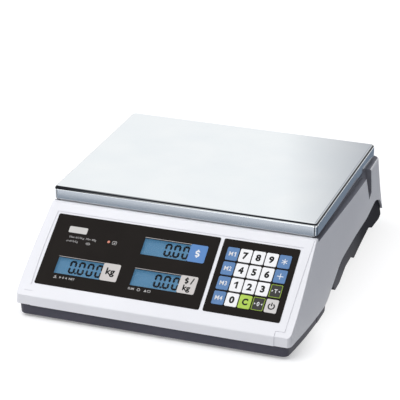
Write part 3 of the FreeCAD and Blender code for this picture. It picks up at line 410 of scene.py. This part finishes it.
black_ink = ink("black_ink", "141312", "1A1918")
white_ink = ink("white_ink", "E9E9EA", "E0E0E2")
pale_ink = ink("pale_grey_ink", "B9B7B6", "ADABAA")
lime_ink = ink("lime_ink", "9DBB3F", "93B038")
crystal_ink = ink("dark_crystal_segments", "04060C", "070A12", 0.4)
blue_badge = printed_film("blue_badge_film", "5B86BE", "6089C0", 0.36)
grey_badge = printed_film("grey_badge_film", "C9C4C1", "CFCAC7", 0.36)
silver_badge = printed_film("silver_badge_film", "C5C3C0", "CFCDCA", 0.3)
lens = lamp_lens()
vial_liquid = printed_film("lime_vial_liquid", "B9CF3A", "C3D84A", 0.12)
vial_air = printed_film("pale_vial_bubble", "E3EDA4", "EAF2B4", 0.1)

slots = {part["node"]: part["material_slot"] for part in frame["record"]["subparts"]}
for name, slot in slots.items():
    node = frame["nodes"][name]
    node.data.materials.clear()
    node.data.materials.append(finishes[slot])


# ---------------------------------------------------------------- where the faces lie
def sheet_axes(node, toward):
    """Right, up and out of a flat film, as its reader sees them."""
    faces = [f for f in frame["nodes"][node].data.polygons if f.normal.dot(toward) > 0.5]
    out = max(faces, key=lambda f: f.area).normal.normalized()
    right = Vector((0, 0, 1)).cross(out).normalized()
    return right, out.cross(right), out


def front_of(node, axes, on_middle_line=False):
    """Matrix that takes (across, up, out) to the middle of a node's outer face."""
    spots = [[v.co.dot(axis) for v in frame["nodes"][node].data.vertices] for axis in axes]
    across = 0.0 if on_middle_line else (min(spots[0]) + max(spots[0])) / 2
    middle = axes[0] * across + axes[1] * (min(spots[1]) + max(spots[1])) / 2 + axes[2] * max(spots[2])
    return Matrix.Translation(middle) @ Matrix([*axes]).transposed().to_4x4()


def sunk_to(face, node, axes):
    """The face's matrix moved straight in or out to a node's outer face."""
    reach = max(v.co.dot(axes[2]) for v in frame["nodes"][node].data.vertices)
    return Matrix.Translation(axes[2] * (reach - face.translation.dot(axes[2]))) @ face


face_axes = sheet_axes("display_overlay", Vector((0, -0.5, 0.8)))
tail_axes = sheet_axes("customer_overlay", Vector((0, 1, 0)))
face = front_of("display_overlay", face_axes, on_middle_line=True)
tail = front_of("customer_overlay", tail_axes, on_middle_line=True)


# ---------------------------------------------------------------- flat shapes
def rounded_outline(width, height, corner, steps=5):
    """Corner points of a rounded rectangle about the origin, anticlockwise."""
    points = []
    for quarter, (sx, sy) in enumerate(((1, 1), (-1, 1), (-1, -1), (1, -1))):
        for step in range(steps + 1):
            turn = math.radians(90 * quarter + 90 * step / steps)
            points.append((sx * (width / 2 - corner) + corner * math.cos(turn),
                           sy * (height / 2 - corner) + corner * math.sin(turn)))
    return points


def arc_outline(outer, inner, start, stop, steps=28):
    """A ring sector about the origin from start to stop degrees."""
    turns = [math.radians(start + (stop - start) * i / steps) for i in range(steps + 1)]
    return [(outer * math.cos(t), outer * math.sin(t)) for t in turns] + [
        (inner * math.cos(t), inner * math.sin(t)) for t in reversed(turns)]


def disc_outline(radius, flat=1.0, steps=28):
    """A disc about the origin, its height taken down by flat."""
    turns = [math.radians(360 * i / steps) for i in range(steps)]
    return [(radius * math.cos(t), flat * radius * math.sin(t)) for t in turns]


def star_outline(arms, reach, stroke):
    """Equal bars that cross at their middles: a plus with 4 arms, an asterisk with more."""
    points = []
    notch = stroke / 2 / math.sin(math.pi / arms)
    for arm in range(arms):
        a = math.radians(90 + 360 * arm / arms)
        for side in (-1, 1):
            points.append((reach * math.cos(a) - side * stroke / 2 * math.sin(a),
                           reach * math.sin(a) + side * stroke / 2 * math.cos(a)))
        b = a + math.pi / arms
        points.append((notch * math.cos(b), notch * math.sin(b)))
    return points


def shape(*outlines):
    """Flat filled curve; an outline inside another is a hole."""
    curve = bpy.data.curves.new("outline", "CURVE")
    curve.dimensions = "2D"
    curve.fill_mode = "BOTH"
    for points in outlines:
        spline = curve.splines.new("POLY")
        spline.points.add(len(points) - 1)
        for at, (x, y) in zip(spline.points, points):
            at.co = (x * MM, y * MM, 0, 1)
        spline.use_cyclic_u = True
    return curve


def ring_shape(outline_of, outer, inner):
    """Flat ring between two outlines of one kind."""
    return shape(outline_of(*outer), outline_of(*inner)[::-1])


capital_share = 0.729       # height of a capital in the built-in font, as a share of its size


def lettering(words, capital, weight=0.0, narrow=1.0):
    """Text whose capitals are that high, thickened by weight on each side of a stroke, and the share of
    its width that it is to keep."""
    curve = bpy.data.curves.new("lettering", "FONT")
    curve.body = words
    curve.size = capital * MM / capital_share
    curve.offset = weight * MM
    curve.space_character = 1.04 if weight > 0 else 1.0
    curve.resolution_u = 3
    return curve, narrow


def baked(holder):
    """The finished mesh of a linked curve or mesh object, which is removed."""
    bpy.context.view_layer.update()
    mesh = bpy.data.meshes.new_from_object(holder.evaluated_get(bpy.context.evaluated_depsgraph_get()))
    bpy.data.objects.remove(holder)
    return mesh


def flat_mesh(curve, layer, narrow):
    """The mesh of a flat curve with its back on the surface; lettering is centred and made narrow."""
    curve.extrude = layer * MM / 2
    holder = bpy.data.objects.new("flat", curve)
    scene.collection.objects.link(holder)
    mesh = baked(holder)
    mesh.transform(Matrix.Translation((0, 0, layer * MM / 2)))
    if isinstance(curve, bpy.types.TextCurve):
        xs, ys = [v.co.x for v in mesh.vertices], [v.co.y for v in mesh.vertices]
        mesh.transform(Matrix.Diagonal((narrow, 1, 1, 1))
                       @ Matrix.Translation((-(min(xs) + max(xs)) / 2, -(min(ys) + max(ys)) / 2, 0)))
    return mesh


def mounted(name, mesh, place, material, body):
    """Makes a finished piece: the mesh taken to its place, one material, riding on a body."""
    mesh.transform(place)
    mesh.materials.clear()
    mesh.materials.append(material)
    mesh.name = name
    piece = bpy.data.objects.new(name, mesh)
    scene.collection.objects.link(piece)
    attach(piece, body)


def print_on(name, place, marks, material, body, layer=ink_layer):
    """Prints marks, each (shape or lettering, across, up), as one piece on the surface at place."""
    joined = bmesh.new()
    for mark, across, up in marks:
        curve, narrow = mark if isinstance(mark, tuple) else (mark, 1.0)
        mesh = flat_mesh(curve, layer, narrow)
        mesh.transform(Matrix.Translation((across * MM, up * MM, 0)))
        joined.from_mesh(mesh)
        bpy.data.meshes.remove(mesh)
    bmesh.ops.remove_doubles(joined, verts=joined.verts, dist=1e-7)
    mesh = bpy.data.meshes.new(name)
    joined.to_mesh(mesh)
    joined.free()
    mounted(name, mesh, place, material, body)


# ---------------------------------------------------------------- readout digits
# seven segments: the level ones by height, the upright ones by side and end
level_bars = {"a": 1, "g": 0, "d": -1}
upright_bars = {"f": (-1, 1), "b": (1, 1), "e": (-1, -1), "c": (1, -1)}
lit_bars = {"0": "abcdef"}          # the scale is at rest, so every figure is a nought


def bar_tree():
    """Bars with pointed ends, one on each point, whose numbers give its middle, half length and turn."""
    tree = bpy.data.node_groups.new("readout_bars", "GeometryNodeTree")
    for label, side, kind in (("Middles", "INPUT", "Geometry"), ("Stroke", "INPUT", "Float"),
                              ("Layer", "INPUT", "Float"), ("Ink", "INPUT", "Material"),
                              ("Bars", "OUTPUT", "Geometry")):
        tree.interface.new_socket(label, in_out=side, socket_type="NodeSocket" + kind)
    given = add(tree, "NodeGroupInput").outputs

    def number(name):
        return add(tree, "GeometryNodeInputNamedAttribute", {"Name": name},
                   data_type="FLOAT").outputs["Attribute"]

    def turned_by(vector, angle, **centre):
        return add(tree, "ShaderNodeVectorRotate", {"Vector": vector, "Angle": angle, **centre},
                   rotation_type="Z_AXIS").outputs["Vector"]

    blank = add(tree, "GeometryNodeMeshCylinder", {"Vertices": 6, "Radius": 1.0, "Depth": given["Layer"]})
    laid = add(tree, "GeometryNodeInstanceOnPoints",
               {"Points": given["Middles"], "Instance": blank.outputs["Mesh"],
                "Rotation": add(tree, "ShaderNodeCombineXYZ", {"Z": number("turn")}).outputs["Vector"]})
    real = add(tree, "GeometryNodeRealizeInstances", {"Geometry": laid.outputs["Instances"]})
    # each six-sided disc is drawn out: its tips to the bar's ends, its shoulders half a stroke inside
    # them and half a stroke from the bar's middle line, where those of a disc of radius 1 lie at sqrt(3) / 2
    middle = add(tree, "ShaderNodeCombineXYZ", {"X": number("across"), "Y": number("up")}).outputs["Vector"]
    place = add(tree, "GeometryNodeInputPosition").outputs["Position"]
    level = turned_by(place, maths(tree, "MULTIPLY", number("turn"), -1.0), Center=middle)
    off = xyz(tree, add(tree, "ShaderNodeVectorMath", {0: level, 1: middle},
                        operation="SUBTRACT").outputs["Vector"])
    reach = maths(tree, "ADD", maths(tree, "SUBTRACT", number("half"), given["Stroke"]),
                  product(tree, maths(tree, "ABSOLUTE", off["X"]), given["Stroke"]))
    widening = maths(tree, "DIVIDE", given["Stroke"], math.sqrt(3))
    drawn = add(tree, "ShaderNodeCombineXYZ",
                {"X": product(tree, maths(tree, "SIGN", off["X"]), reach),
                 "Y": product(tree, off["Y"], widening), "Z": off["Z"]}).outputs["Vector"]
    moved = add(tree, "ShaderNodeVectorMath", {0: turned_by(drawn, number("turn")), 1: middle},
                operation="ADD")
    bars = add(tree, "GeometryNodeSetPosition", {"Geometry": real.outputs["Geometry"],
                                                 "Position": moved.outputs["Vector"]})
    inked = add(tree, "GeometryNodeSetMaterial",
                {"Geometry": bars.outputs["Geometry"], "Material": given["Ink"]})
    add(tree, "NodeGroupOutput", {"Bars": inked.outputs["Geometry"]})
    return tree


def digit_bars(figures, right, up):
    """The bars of a right-aligned number: (across, up, half length, turn) each, in millimetres."""
    bars = []
    middle = right - digit_stroke / 2 - digit_width / 2
    for figure in reversed(figures):
        if figure == ".":
            bars.append((middle + digit_pitch / 2 + point_shift, up - digit_height / 2, point_half, 0.0))
            continue
        for bar in lit_bars[figure]:
            if bar in level_bars:
                bars.append((middle, up + level_bars[bar] * digit_height / 2,
                             digit_width / 2 + level_bar_end, 0.0))
            else:
                side, end = upright_bars[bar]
                bars.append((middle + side * digit_width / 2,
                             up + end * (digit_height / 4 + upright_bar_shift),
                             digit_height / 4 - upright_bar_end, math.pi / 2))
        middle -= digit_pitch
    return bars


def readout(name, place, bars):
    """One piece with all the lit bars of the displays behind a film."""
    points = bpy.data.meshes.new("bar_middles")
    points.from_pydata([(x * MM, y * MM, ink_layer * MM / 2) for x, y, *_ in bars], [], [])
    labels = ("across", "up", "half", "turn")
    for label, values in zip(labels, zip(*bars)):
        unit = 1 if label == "turn" else MM
        points.attributes.new(label, "FLOAT", "POINT").data.foreach_set("value", [v * unit for v in values])
    holder = bpy.data.objects.new("bar_middles", points)
    scene.collection.objects.link(holder)
    maker = holder.modifiers.new("bars", "NODES")
    maker.node_group = bar_tree()
    given = {"Stroke": digit_stroke * MM, "Layer": ink_layer * MM, "Ink": crystal_ink}
    for socket in maker.node_group.interface.items_tree:
        if socket.name in given:
            maker[socket.identifier] = given[socket.name]
    mesh = baked(holder)
    for label in labels:
        mesh.attributes.remove(mesh.attributes[label])
    mounted(name, mesh, place, crystal_ink, "housing")


face_figures = (("0.000", weight_window), ("0.00", price_window), ("0.00", total_window))
readout("front_lcd_digits", sunk_to(face, "front_lcds", face_axes),
        [bar for figures, (x, y) in face_figures
         for bar in digit_bars(figures, x + readout_right, y + readout_rise)])
tail_figures = (("0.000", -1), ("0.00", 0), ("0.00", 1))
readout("customer_lcd_digits", sunk_to(tail, "customer_lcds", tail_axes),
        [bar for figures, column in tail_figures
         for bar in digit_bars(figures, column * customer_pitch + customer_readout_right, 0.0)])


# ---------------------------------------------------------------- key caps
def pointer(x, tip, size=1.0):
    """Small triangle at x whose point is towards tip: 1 for right, -1 for left."""
    return [(x - size * tip, 1.25 * size), (x - size * tip, -1.25 * size), (x + size * tip, 0.0)][::tip]


def figure_one(height, stroke, x=0.0):
    """The figure 1 as a plain upright with its flag."""
    top, edge = height / 2, x + stroke * 0.75
    inner, flag_end = edge - stroke, edge - stroke * 2.3
    return shape([(edge, -top), (edge, top), (edge - stroke * 0.85, top),
                  (flag_end, top - stroke * 1.2), (flag_end, top - stroke * 2.1),
                  (inner, top - stroke * 1.4), (inner, -top)])


def dollar_sign(height, stroke):
    """A round S drawn with one stroke, and the ends of its upright above and below, as separate marks."""
    bow = (height * 0.8 - stroke) / 4
    turns = [math.radians(a) for a in range(20, 271, 10)]
    upper = [(1.12 * bow * math.cos(t), bow + bow * math.sin(t)) for t in turns]
    lower = [(-x, -y) for x, y in reversed(upper[:-1])]
    line = upper + lower
    sides = [[], []]
    for i, (x, y) in enumerate(line):
        (ax, ay), (bx, by) = line[max(i - 1, 0)], line[min(i + 1, len(line) - 1)]
        run = math.hypot(bx - ax, by - ay)
        for side, way in zip(sides, (-1, 1)):
            side.append((x - way * (by - ay) / run * stroke / 2, y + way * (bx - ax) / run * stroke / 2))
    stub = height * 0.1
    stub_outline = rounded_outline(stroke * 0.8, stub, 0.05)
    return [(shape(sides[0] + sides[1][::-1]), 0, 0)] + [
        (shape(stub_outline), 0, way * (height - stub) / 2) for way in (-1, 1)]


between_pointers = [(shape(pointer(-3.7, 1, 0.95)), 0, 0), (shape(pointer(3.7, -1, 0.95)), 0, 0)]
key_marks = {
    "key_multiply": [(shape(star_outline(6, 3.5, 0.8)), 0, 0)],
    "key_plus": [(shape(star_outline(4, 3.6, 0.9)), 0, 0)],
    "key_clear": [(lettering("C", 7.6, 0.5, 0.88), 0, 0)],
    "key_tare": [(lettering("T", 4.8, 0.12, 0.9), 0, 0), *between_pointers],
    "key_zero": [(lettering("0", 5.0, 0.12, 0.9), 0, 0), *between_pointers],
    "key_power": [(shape(arc_outline(4.0, 2.6, 122, 418)), 0, -0.4),
                  (shape(rounded_outline(1.3, 4.6, 0.3)), 0, 2.0)],
    "key_1": [(figure_one(8.6, 1.9), 0, 0)],
    "key_m1": [(lettering("M", 5.5, 0.06, 0.9), -1.6, 0), (figure_one(5.6, 1.0, 3.3), 0, 0)],
}
for number in "023456789":
    key_marks["key_" + number] = [(lettering(number, 7.9, 0.54), 0, 0)]
for store in "234":
    key_marks["key_m" + store] = [(lettering("M" + store, 5.5, 0.06, 0.9), 0, 0)]

light_on_dark = ("key_blue", "key_black")
for key, marks in key_marks.items():
    top = front_of(key, face_axes)
    label = white_ink if slots[key] in light_on_dark else black_ink
    print_on(key + "_mark", top, marks, label, key)
    if slots[key] == "key_black":
        rim = ring_shape(rounded_outline, key_rim_outer, key_rim_inner)
        print_on(key + "_rim", top, [(rim, 0, 0)], lime_ink, key)


# ---------------------------------------------------------------- prints on the films
price_unit = [(mark, x - 2.0, y + 4.8) for mark, x, y in dollar_sign(8.4, 1.8)]
slash = shape([(2.4, 1.0), (3.9, 1.0), (6.4, 8.8), (4.9, 8.8)])
price_unit += [(slash, 0, 0), (lettering("kg", 6.8, 0.36), 0, -4.9)]
unit_badges = (
    ("weight", weight_window, grey_badge, black_ink, [(lettering("kg", 8.2, 0.4), 0, 0)]),
    ("price", price_window, grey_badge, black_ink, price_unit),
    ("total", total_window, blue_badge, white_ink, dollar_sign(10.2, 1.8)))
for name, (across, up), film, label, marks in unit_badges:
    across, up = across + badge_offset, up + badge_rise
    badge = shape(rounded_outline(*badge_size, badge_corner))
    print_on(name + "_badge", face, [(badge, across, up)], film, "housing", label_layer)
    above = Matrix.Translation(face_axes[2] * label_layer * MM) @ face
    print_on(name + "_unit", above, [(mark, across + x, up + y) for mark, x, y in marks], label, "housing")

name_plate = shape(rounded_outline(*name_plate_size, name_plate_corner))
print_on("name_plate", face, [(name_plate, *name_plate_place)], silver_badge, "housing", label_layer)

charge_x, charge_y = charge_sign_place
film_marks = [
    # rating lines, the seal beside them and the charge sign beside the lamp
    (lettering("Max 6/15kg  Min 40g", small_print, 0.0, 1.12), -104.4, rating_rise),
    (lettering("e=d=2/5g", small_print, 0.0, 1.05), -115.6, steps_rise),
    (ring_shape(disc_outline, (2.5, 0.62), (1.9, 0.62)), *seal_place),
    (shape(rounded_outline(1.9, 0.6, 0.2)), *seal_place),
    (ring_shape(rounded_outline, (5.2, 4.6, 1.1), (4.3, 3.7, 0.7)), charge_x, charge_y),
    (shape(rounded_outline(2.0, 0.7, 0.2)), charge_x, charge_y - 0.6),
    (shape(rounded_outline(0.7, 1.4, 0.2)), charge_x + 0.5, charge_y + 0.4),
    # status marks below the weight: steady, zero and net
    (shape(rounded_outline(4.0, 0.7, 0.2)), -120.2, status_rise - 1.3),
    (shape(pointer(0, -1, 1.1)), -120.4, status_rise + 0.5),
    (shape(pointer(-3.3, 1, 1.1)), -110.6, status_rise),
    (lettering("0", small_print, 0.12), -110.6, status_rise),
    (shape(pointer(3.3, -1, 1.1)), -110.6, status_rise),
    (lettering("NET", small_print, 0.1, 1.05), -100.4, status_rise),
    # status marks below the unit price: sum, a ring, a warning of low charge and the battery
    (lettering("SUM", small_print, 0.1, 1.05), -30.6, right_status_rise),
    (ring_shape(disc_outline, (1.9,), (1.2,)), -21.8, right_status_rise),
    (shape([(-1.7, -1.4), (1.7, -1.4), (0.0, 1.6)]), -14.0, right_status_rise),
    (ring_shape(rounded_outline, (3.8, 2.6, 0.4), (2.8, 1.6, 0.2)), -9.8, right_status_rise),
]
print_on("film_marks", face, film_marks, pale_ink, "housing")

window_edges = [(shape(rounded_outline(window_size[0] + 0.4, window_line, 0.2)),
                 x, y + window_size[1] / 2 + window_line_gap)
                for x, y in (weight_window, price_window, total_window)]
print_on("window_edge_lines", face, window_edges, pale_ink, "housing")

customer_marks = [(lettering(words, customer_print, 0.12), column * customer_pitch, customer_print_rise)
                  for words, column in (("kg", -1), ("$/kg", 0), ("$", 1))]
print_on("customer_film_marks", tail, customer_marks, pale_ink, "housing")


# ---------------------------------------------------------------- indicator lens and level vial
def turned(profile, steps=32):
    """Closed round shape from a profile of (radius, height) points, first and last on the axis."""
    made = bmesh.new()
    rings = []
    for radius, height in profile:
        if radius == 0:
            rings.append([made.verts.new((0, 0, height * MM))])
            continue
        rings.append([made.verts.new((radius * MM * math.cos(2 * math.pi * i / steps),
                                      radius * MM * math.sin(2 * math.pi * i / steps), height * MM))
                      for i in range(steps)])
    for low, high in zip(rings, rings[1:]):
        for i in range(steps):
            j = (i + 1) % steps
            corners = [low[i % len(low)], low[j % len(low)], high[j % len(high)], high[i % len(high)]]
            made.faces.new(list(dict.fromkeys(corners)))
    bmesh.ops.recalc_face_normals(made, faces=made.faces)
    mesh = bpy.data.meshes.new("turned")
    made.to_mesh(mesh)
    made.free()
    mesh.shade_smooth()
    return mesh


def dome(radius, foot, rim, height, turns):
    """Profile of a low dome: its flat side is at foot on the axis and at rim round its edge, and it has
    a point at each of the turns, in radians up from the edge."""
    return [(0, foot)] + [(radius * math.cos(t), rim + height * math.sin(t)) for t in turns] + [
        (0, rim + height)]


mounted("charge_lamp", turned(dome(lamp_radius, 0, lamp_rim, lamp_height, (0, 0.35, 0.7, 1.05, 1.35))),
        face @ Matrix.Translation((lamp_place[0] * MM, lamp_place[1] * MM, 0)), lens, "housing")

level_axes = (Vector((1, 0, 0)), Vector((0, 1, 0)), Vector((0, 0, 1)))
vial_top = front_of("level_vial", level_axes)
mounted("vial_liquid", turned([(0, 0), (vial_radius, 0), (vial_radius, vial_layer), (0, vial_layer)], 40),
        vial_top, vial_liquid, "housing")
mounted("vial_bubble",
        turned(dome(bubble_radius, vial_layer, vial_layer, bubble_height, (0, 0.4, 0.8, 1.2))),
        vial_top, vial_air, "housing")
print_on("vial_ring", vial_top @ Matrix.Translation((0, 0, vial_layer * MM)),
         [(ring_shape(disc_outline, (vial_ring_outer,), (vial_ring_inner,)), 0, 0)], black_ink, "housing")


# ---------------------------------------------------------------- studio
room_white = "FCFEFF"


def surfaced(material, surface_of):
    """Gives the material its nodes: surface_of builds them and returns the surface output."""
    material.use_nodes = True
    tree = material.node_tree
    tree.nodes.clear()
    add(tree, "ShaderNodeOutputMaterial", {"Surface": surface_of(tree)})
    return material


def shown(tree):
    """1 to the eye, to metal and to glass, 0 to everything else."""
    path = add(tree, "ShaderNodeLightPath").outputs
    seen = maths(tree, "MAXIMUM", path["Is Camera Ray"], path["Is Glossy Ray"])
    return maths(tree, "MAXIMUM", seen, path["Is Transmission Ray"])


def paper(tree):
    """White paper, lifted to white where it is seen. Before the object it keeps its full contact shadow;
    beside and behind it the lift is greater, so that the cast shadow there stays faint, and far away it is
    whole."""
    place = add(tree, "ShaderNodeTexCoord").outputs["Object"]
    spot = xyz(tree, place)
    across = maths(tree, "ADD", spot["X"], spot["Y"])
    far = add(tree, "ShaderNodeVectorMath", {0: place}, operation="LENGTH").outputs["Value"]
    eye = shown(tree)
    seen = shades(tree, past(tree, across, -0.05, 0.06), "F0F0F0", "A2A2A3", 0.0, 1.0)
    colour = mix(tree, eye, linear("B4B5B8"), seen)
    sheet = add(tree, "ShaderNodeBsdfDiffuse", {"Color": colour})
    lift = maths(tree, "MAXIMUM", between(tree, across, 0.25, 0.8, -0.05, 0.06),
                 between(tree, far, 0.25, 1.0, 0.35, 0.75))
    glow = add(tree, "ShaderNodeEmission", {"Color": (1, 1, 1, 1), "Strength": product(tree, eye, lift)})
    return add(tree, "ShaderNodeAddShader", {0: sheet.outputs[0], 1: glow.outputs[0]}).outputs[0]


def studio_sheet(name, place, width, height, material, facing=(0, 0, 1)):
    """Flat sheet of the studio, lengths in metres; facing is its normal."""
    mesh = bpy.data.meshes.new(name)
    made = bmesh.new()
    bmesh.ops.create_grid(made, x_segments=1, y_segments=1, size=0.5)
    made.transform(Matrix.Diagonal((width, height, 1, 1)))
    made.transform(Vector(facing).to_track_quat("Z", "Y").to_matrix().to_4x4())
    made.transform(Matrix.Translation(place))
    made.to_mesh(mesh)
    made.free()
    mesh.materials.append(material)
    sheet = bpy.data.objects.new(name, mesh)
    scene.collection.objects.link(sheet)
    return sheet


def reflector(name, place, width, height, shade, facing=(0, 0, 1), edge=None):
    """Card that only reflections show: it gives the bright steel and the glossy films something to mirror.
    Its shade is a hex colour, which fades to white over a strip of width edge along both sides."""
    def lit(tree):
        colour = linear(shade)
        if edge:
            off = maths(tree, "ABSOLUTE", maths(tree, "SUBTRACT", position(tree)["X"], place[0]))
            colour = shades(tree, past(tree, off, width / 2 - edge, width / 2), shade, room_white, 0.0, 1.0)
        return add(tree, "ShaderNodeEmission", {"Color": colour}).outputs[0]

    card = surfaced(bpy.data.materials.new(name + "_card"), lit)
    sheet = studio_sheet(name, place, width, height, card, facing)
    sheet.visible_camera = sheet.visible_diffuse = sheet.visible_shadow = False


def studio_world(ambient):
    """White to the eye, to metal and to glass; a softer fill for everything else."""
    world = bpy.data.worlds.new("studio")
    world.use_nodes = True
    tree = world.node_tree
    tree.nodes.clear()
    fill = add(tree, "ShaderNodeBackground", {"Color": linear("F8FAFF"), "Strength": ambient})
    room = add(tree, "ShaderNodeBackground", {"Color": linear(room_white)})
    sky = add(tree, "ShaderNodeMixShader", {0: shown(tree), 1: fill.outputs[0], 2: room.outputs[0]})
    add(tree, "ShaderNodeOutputWorld", {"Surface": sky.outputs[0]})
    scene.world = world


def softbox(name, place, target, width, height, watts):
    """Rectangular studio lamp aimed at a point, lengths in metres. Metal and glass don't show it: the white
    room stands in for its reflection."""
    light = bpy.data.lights.new(name, "AREA")
    light.shape = "RECTANGLE"
    light.size, light.size_y, light.energy = width, height, watts
    lamp = bpy.data.objects.new(name, light)
    lamp.location = place
    lamp.rotation_mode = "QUATERNION"
    lamp.rotation_quaternion = (Vector(target) - Vector(place)).to_track_quat("-Z", "Y")
    lamp.visible_glossy = lamp.visible_transmission = False
    scene.collection.objects.link(lamp)


def camera(azimuth, elevation, roll, distance, target, focal):
    """Long-lens view; angles in degrees, azimuth 0 looking along +Y, lengths in metres."""
    a, e, r = (math.radians(v) for v in (azimuth, elevation, roll))
    back = Vector((math.sin(a) * math.cos(e), -math.cos(a) * math.cos(e), math.sin(e)))
    right = Vector((math.cos(a), math.sin(a), 0))
    up = back.cross(right)
    right, up = right * math.cos(r) + up * math.sin(r), up * math.cos(r) - right * math.sin(r)
    data = bpy.data.cameras.new("view")
    data.sensor_width, data.lens = 36.0, focal
    data.clip_start, data.clip_end = 0.1, 50.0
    eye = bpy.data.objects.new("view", data)
    eye.matrix_world = (Matrix.Translation(Vector(target) + back * distance)
                        @ Matrix([right, up, back]).transposed().to_4x4())
    scene.collection.objects.link(eye)
    scene.camera = eye


floor_paper = surfaced(bpy.data.materials.new("seamless_white_paper"), paper)
studio_sheet("studio_floor", (0, 0, 0), 12, 12, floor_paper)
reflector("front_floor_card", (0, -0.645, 0.001), 2.0, 0.68, "D3D8E0")
reflector("near_floor_card", (0, -0.27, 0.001), 1.2, 0.07, "858F9C")
reflector("side_floor_card", (0.5, 0.35, 0.001), 0.62, 1.1, "74808F")
reflector("rear_card", (0.04, 1.0, 0.6), 0.5, 1.2, "A9ACB3", facing=(0, -1, 0), edge=0.2)
studio_world(ambient=0.46)
middle = Vector((0, 0, 0.06))
softbox("key_softbox", place=middle + 2.6 * Vector((-0.34, -0.45, 0.82)), target=middle,
        width=2.4, height=2.4, watts=55)
camera(azimuth=19.602, elevation=23.927, roll=0.07, distance=2.211959,
       target=(-0.035039, 0.0707, 0.050299), focal=166.464)

scene.view_settings.view_transform = "Standard"
